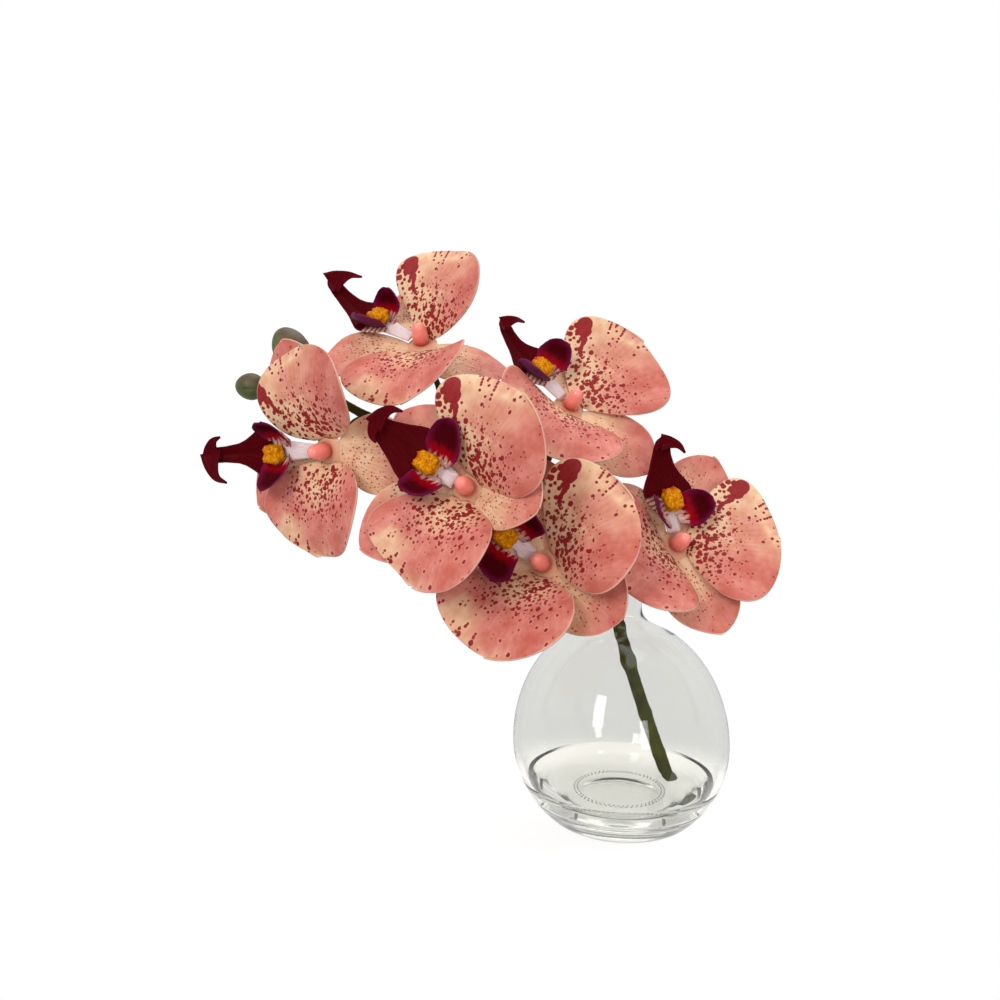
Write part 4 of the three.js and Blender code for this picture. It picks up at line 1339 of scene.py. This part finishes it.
def vase_profile():
    """The section of the glass from the axis up the outside, over the rim and down the inside."""
    foot = [(0, 1.0), (14, 1.0), (16.4, 0.5), (18.6, 0.05), (20.8, 0.05)]
    rim, rim_inside = (RIM_RADIUS, 103.3), (RIM_RADIUS - 2.3, 103.2)
    outside = [(22.8, 0.9)] + [(body_radius(z, 0), z) for z in OUTSIDE_HEIGHTS]
    outside += [(14.4, 83), (11, 85.2), (NECK_RADIUS, 88), (NECK_RADIUS - 0.1, 93),
                (NECK_RADIUS, 98), (RIM_RADIUS - 0.5, 102), rim]
    over = [rim, (RIM_RADIUS - 0.9, VASE_HEIGHT), rim_inside]
    inside = [rim_inside, (7.2, 100), (7, 98), (7, 92), (7.2, 87), (8.6, 84), (11, 81.8)]
    inside += [(body_radius(z, WALL), z) for z in INSIDE_HEIGHTS]
    inside += [(26.5, 8.6), (22, 7.4), (12, FLOOR_HEIGHT)]
    return (foot + rounded(outside, 3) + rounded(over, 4)[1:] + rounded(inside, 3)[1:]
            + [(0, FLOOR_HEIGHT)])


def water_profile():
    """The filling of the inside, just let into the glass."""
    into_wall = 0.2
    sides = [(body_radius(z, WALL) + into_wall, z) for z in (11, 14, 17)]
    top = body_radius(WATER_HEIGHT, WALL)
    bottom = FLOOR_HEIGHT - 0.1
    return ([(0, bottom), (12, bottom), (22, 7.3), (26.5, 8.5)] + sides
            + [(top + into_wall, WATER_HEIGHT + 0.25), (top - 0.5, WATER_HEIGHT + 0.05),
               (top - 1.2, WATER_HEIGHT), (0, WATER_HEIGHT)])


def pip_tree():
    """Two rings of small moulded pips, the outer one turned by half a step."""
    tree, bench, given, size = new_tree("foot_pips", ("Ring", "Step", "Pip", "Height"))
    rows = []
    for row, share in ((0.0, 0.0), (1.0, 0.5)):
        ring = bench.node("GeometryNodeCurvePrimitiveCircle",
                          {"Resolution": 128, "Radius": size["Ring"] + size["Step"] * row})
        points = bench.node("GeometryNodeCurveToPoints", {"Curve": ring, "Count": PIP_COUNT},
                            mode="COUNT")
        ball = bench.node("GeometryNodeMeshIcoSphere", {"Radius": size["Pip"], "Subdivisions": 2})
        placed = bench.node("GeometryNodeInstanceOnPoints", {"Points": points, "Instance": ball})
        turn = (0.0, 0.0, share * math.tau / PIP_COUNT)
        turned = bench.node("GeometryNodeTransform", {"Geometry": placed, "Rotation": turn})
        lift = bench.vector(0.0, 0.0, size["Height"])
        rows.append(bench.node("GeometryNodeSetPosition", {"Geometry": turned, "Offset": lift}))
    end_tree(bench, given, bench.joined(*rows))
    return tree


def clear_finish(name, ior, tints, foot_tint, wave_size, wave_depth):
    """Glass or water: lamps shine through it, its surface is a little wavy, and it has a tint of
    its own in the thick foot."""
    material, bench, shader = new_finish(name, 1.0)
    place = bench.place()
    waves = bench.speckle(place, wave_size, 1.0)
    foot = bench.parts(place)[2].smooth(0.014, 0.003)
    bench.fill(shader, {
        "Base Color": foot.mix(waves.mix(*tints), foot_tint),
        "Roughness": 0.0,
        "IOR": ior,
        "Transmission Weight": 1.0,
        "Normal": bench.bump(waves, 0.1, wave_depth),
    })
    rays = bench.node("ShaderNodeLightPath")
    lamp = bench.sum("MAXIMUM", rays.outputs["Is Shadow Ray"], rays.outputs["Is Diffuse Ray"])
    clear = bench.node("ShaderNodeBsdfTransparent", {"Color": (0.99, 0.99, 0.99, 1.0)})
    bench.blend(lamp, shader, clear)
    return material


def make_vase():
    glass = clear_finish("clear_glass", GLASS_IOR, GLASS_TINTS, GLASS_FOOT, 14.0, 2.0)
    body = lathe("vase_glass", vase_profile(), VASE_SIDES, glass)
    grey = clear_finish("pip_glass", GLASS_IOR, PIP_TINTS, PIP_FOOT, 14.0, 2.0)
    pips = grown("foot_pips", pip_tree(), {"Ring": PIP_RING, "Step": PIP_STEP, "Pip": PIP_RADIUS,
                                           "Height": FLOOR_HEIGHT + PIP_RADIUS, "Finish": grey})
    vase = joined("vase_glass", [body, pips])
    settle(vase)
    hand_over(vase, "glass", "vase")


def make_water():
    finish = clear_finish("clear_water", WATER_IOR, WATER_TINTS, WATER_FOOT, 30.0, 1.0)
    water = lathe("vase_water", water_profile(), VASE_SIDES, finish)
    settle(water)
    hand_over(water, "clear_water", "water")


place_camera()
light_studio()
make_vase()
make_water()
make_stem()
make_buds()
make_blooms()

bpy.context.view_layer.update()
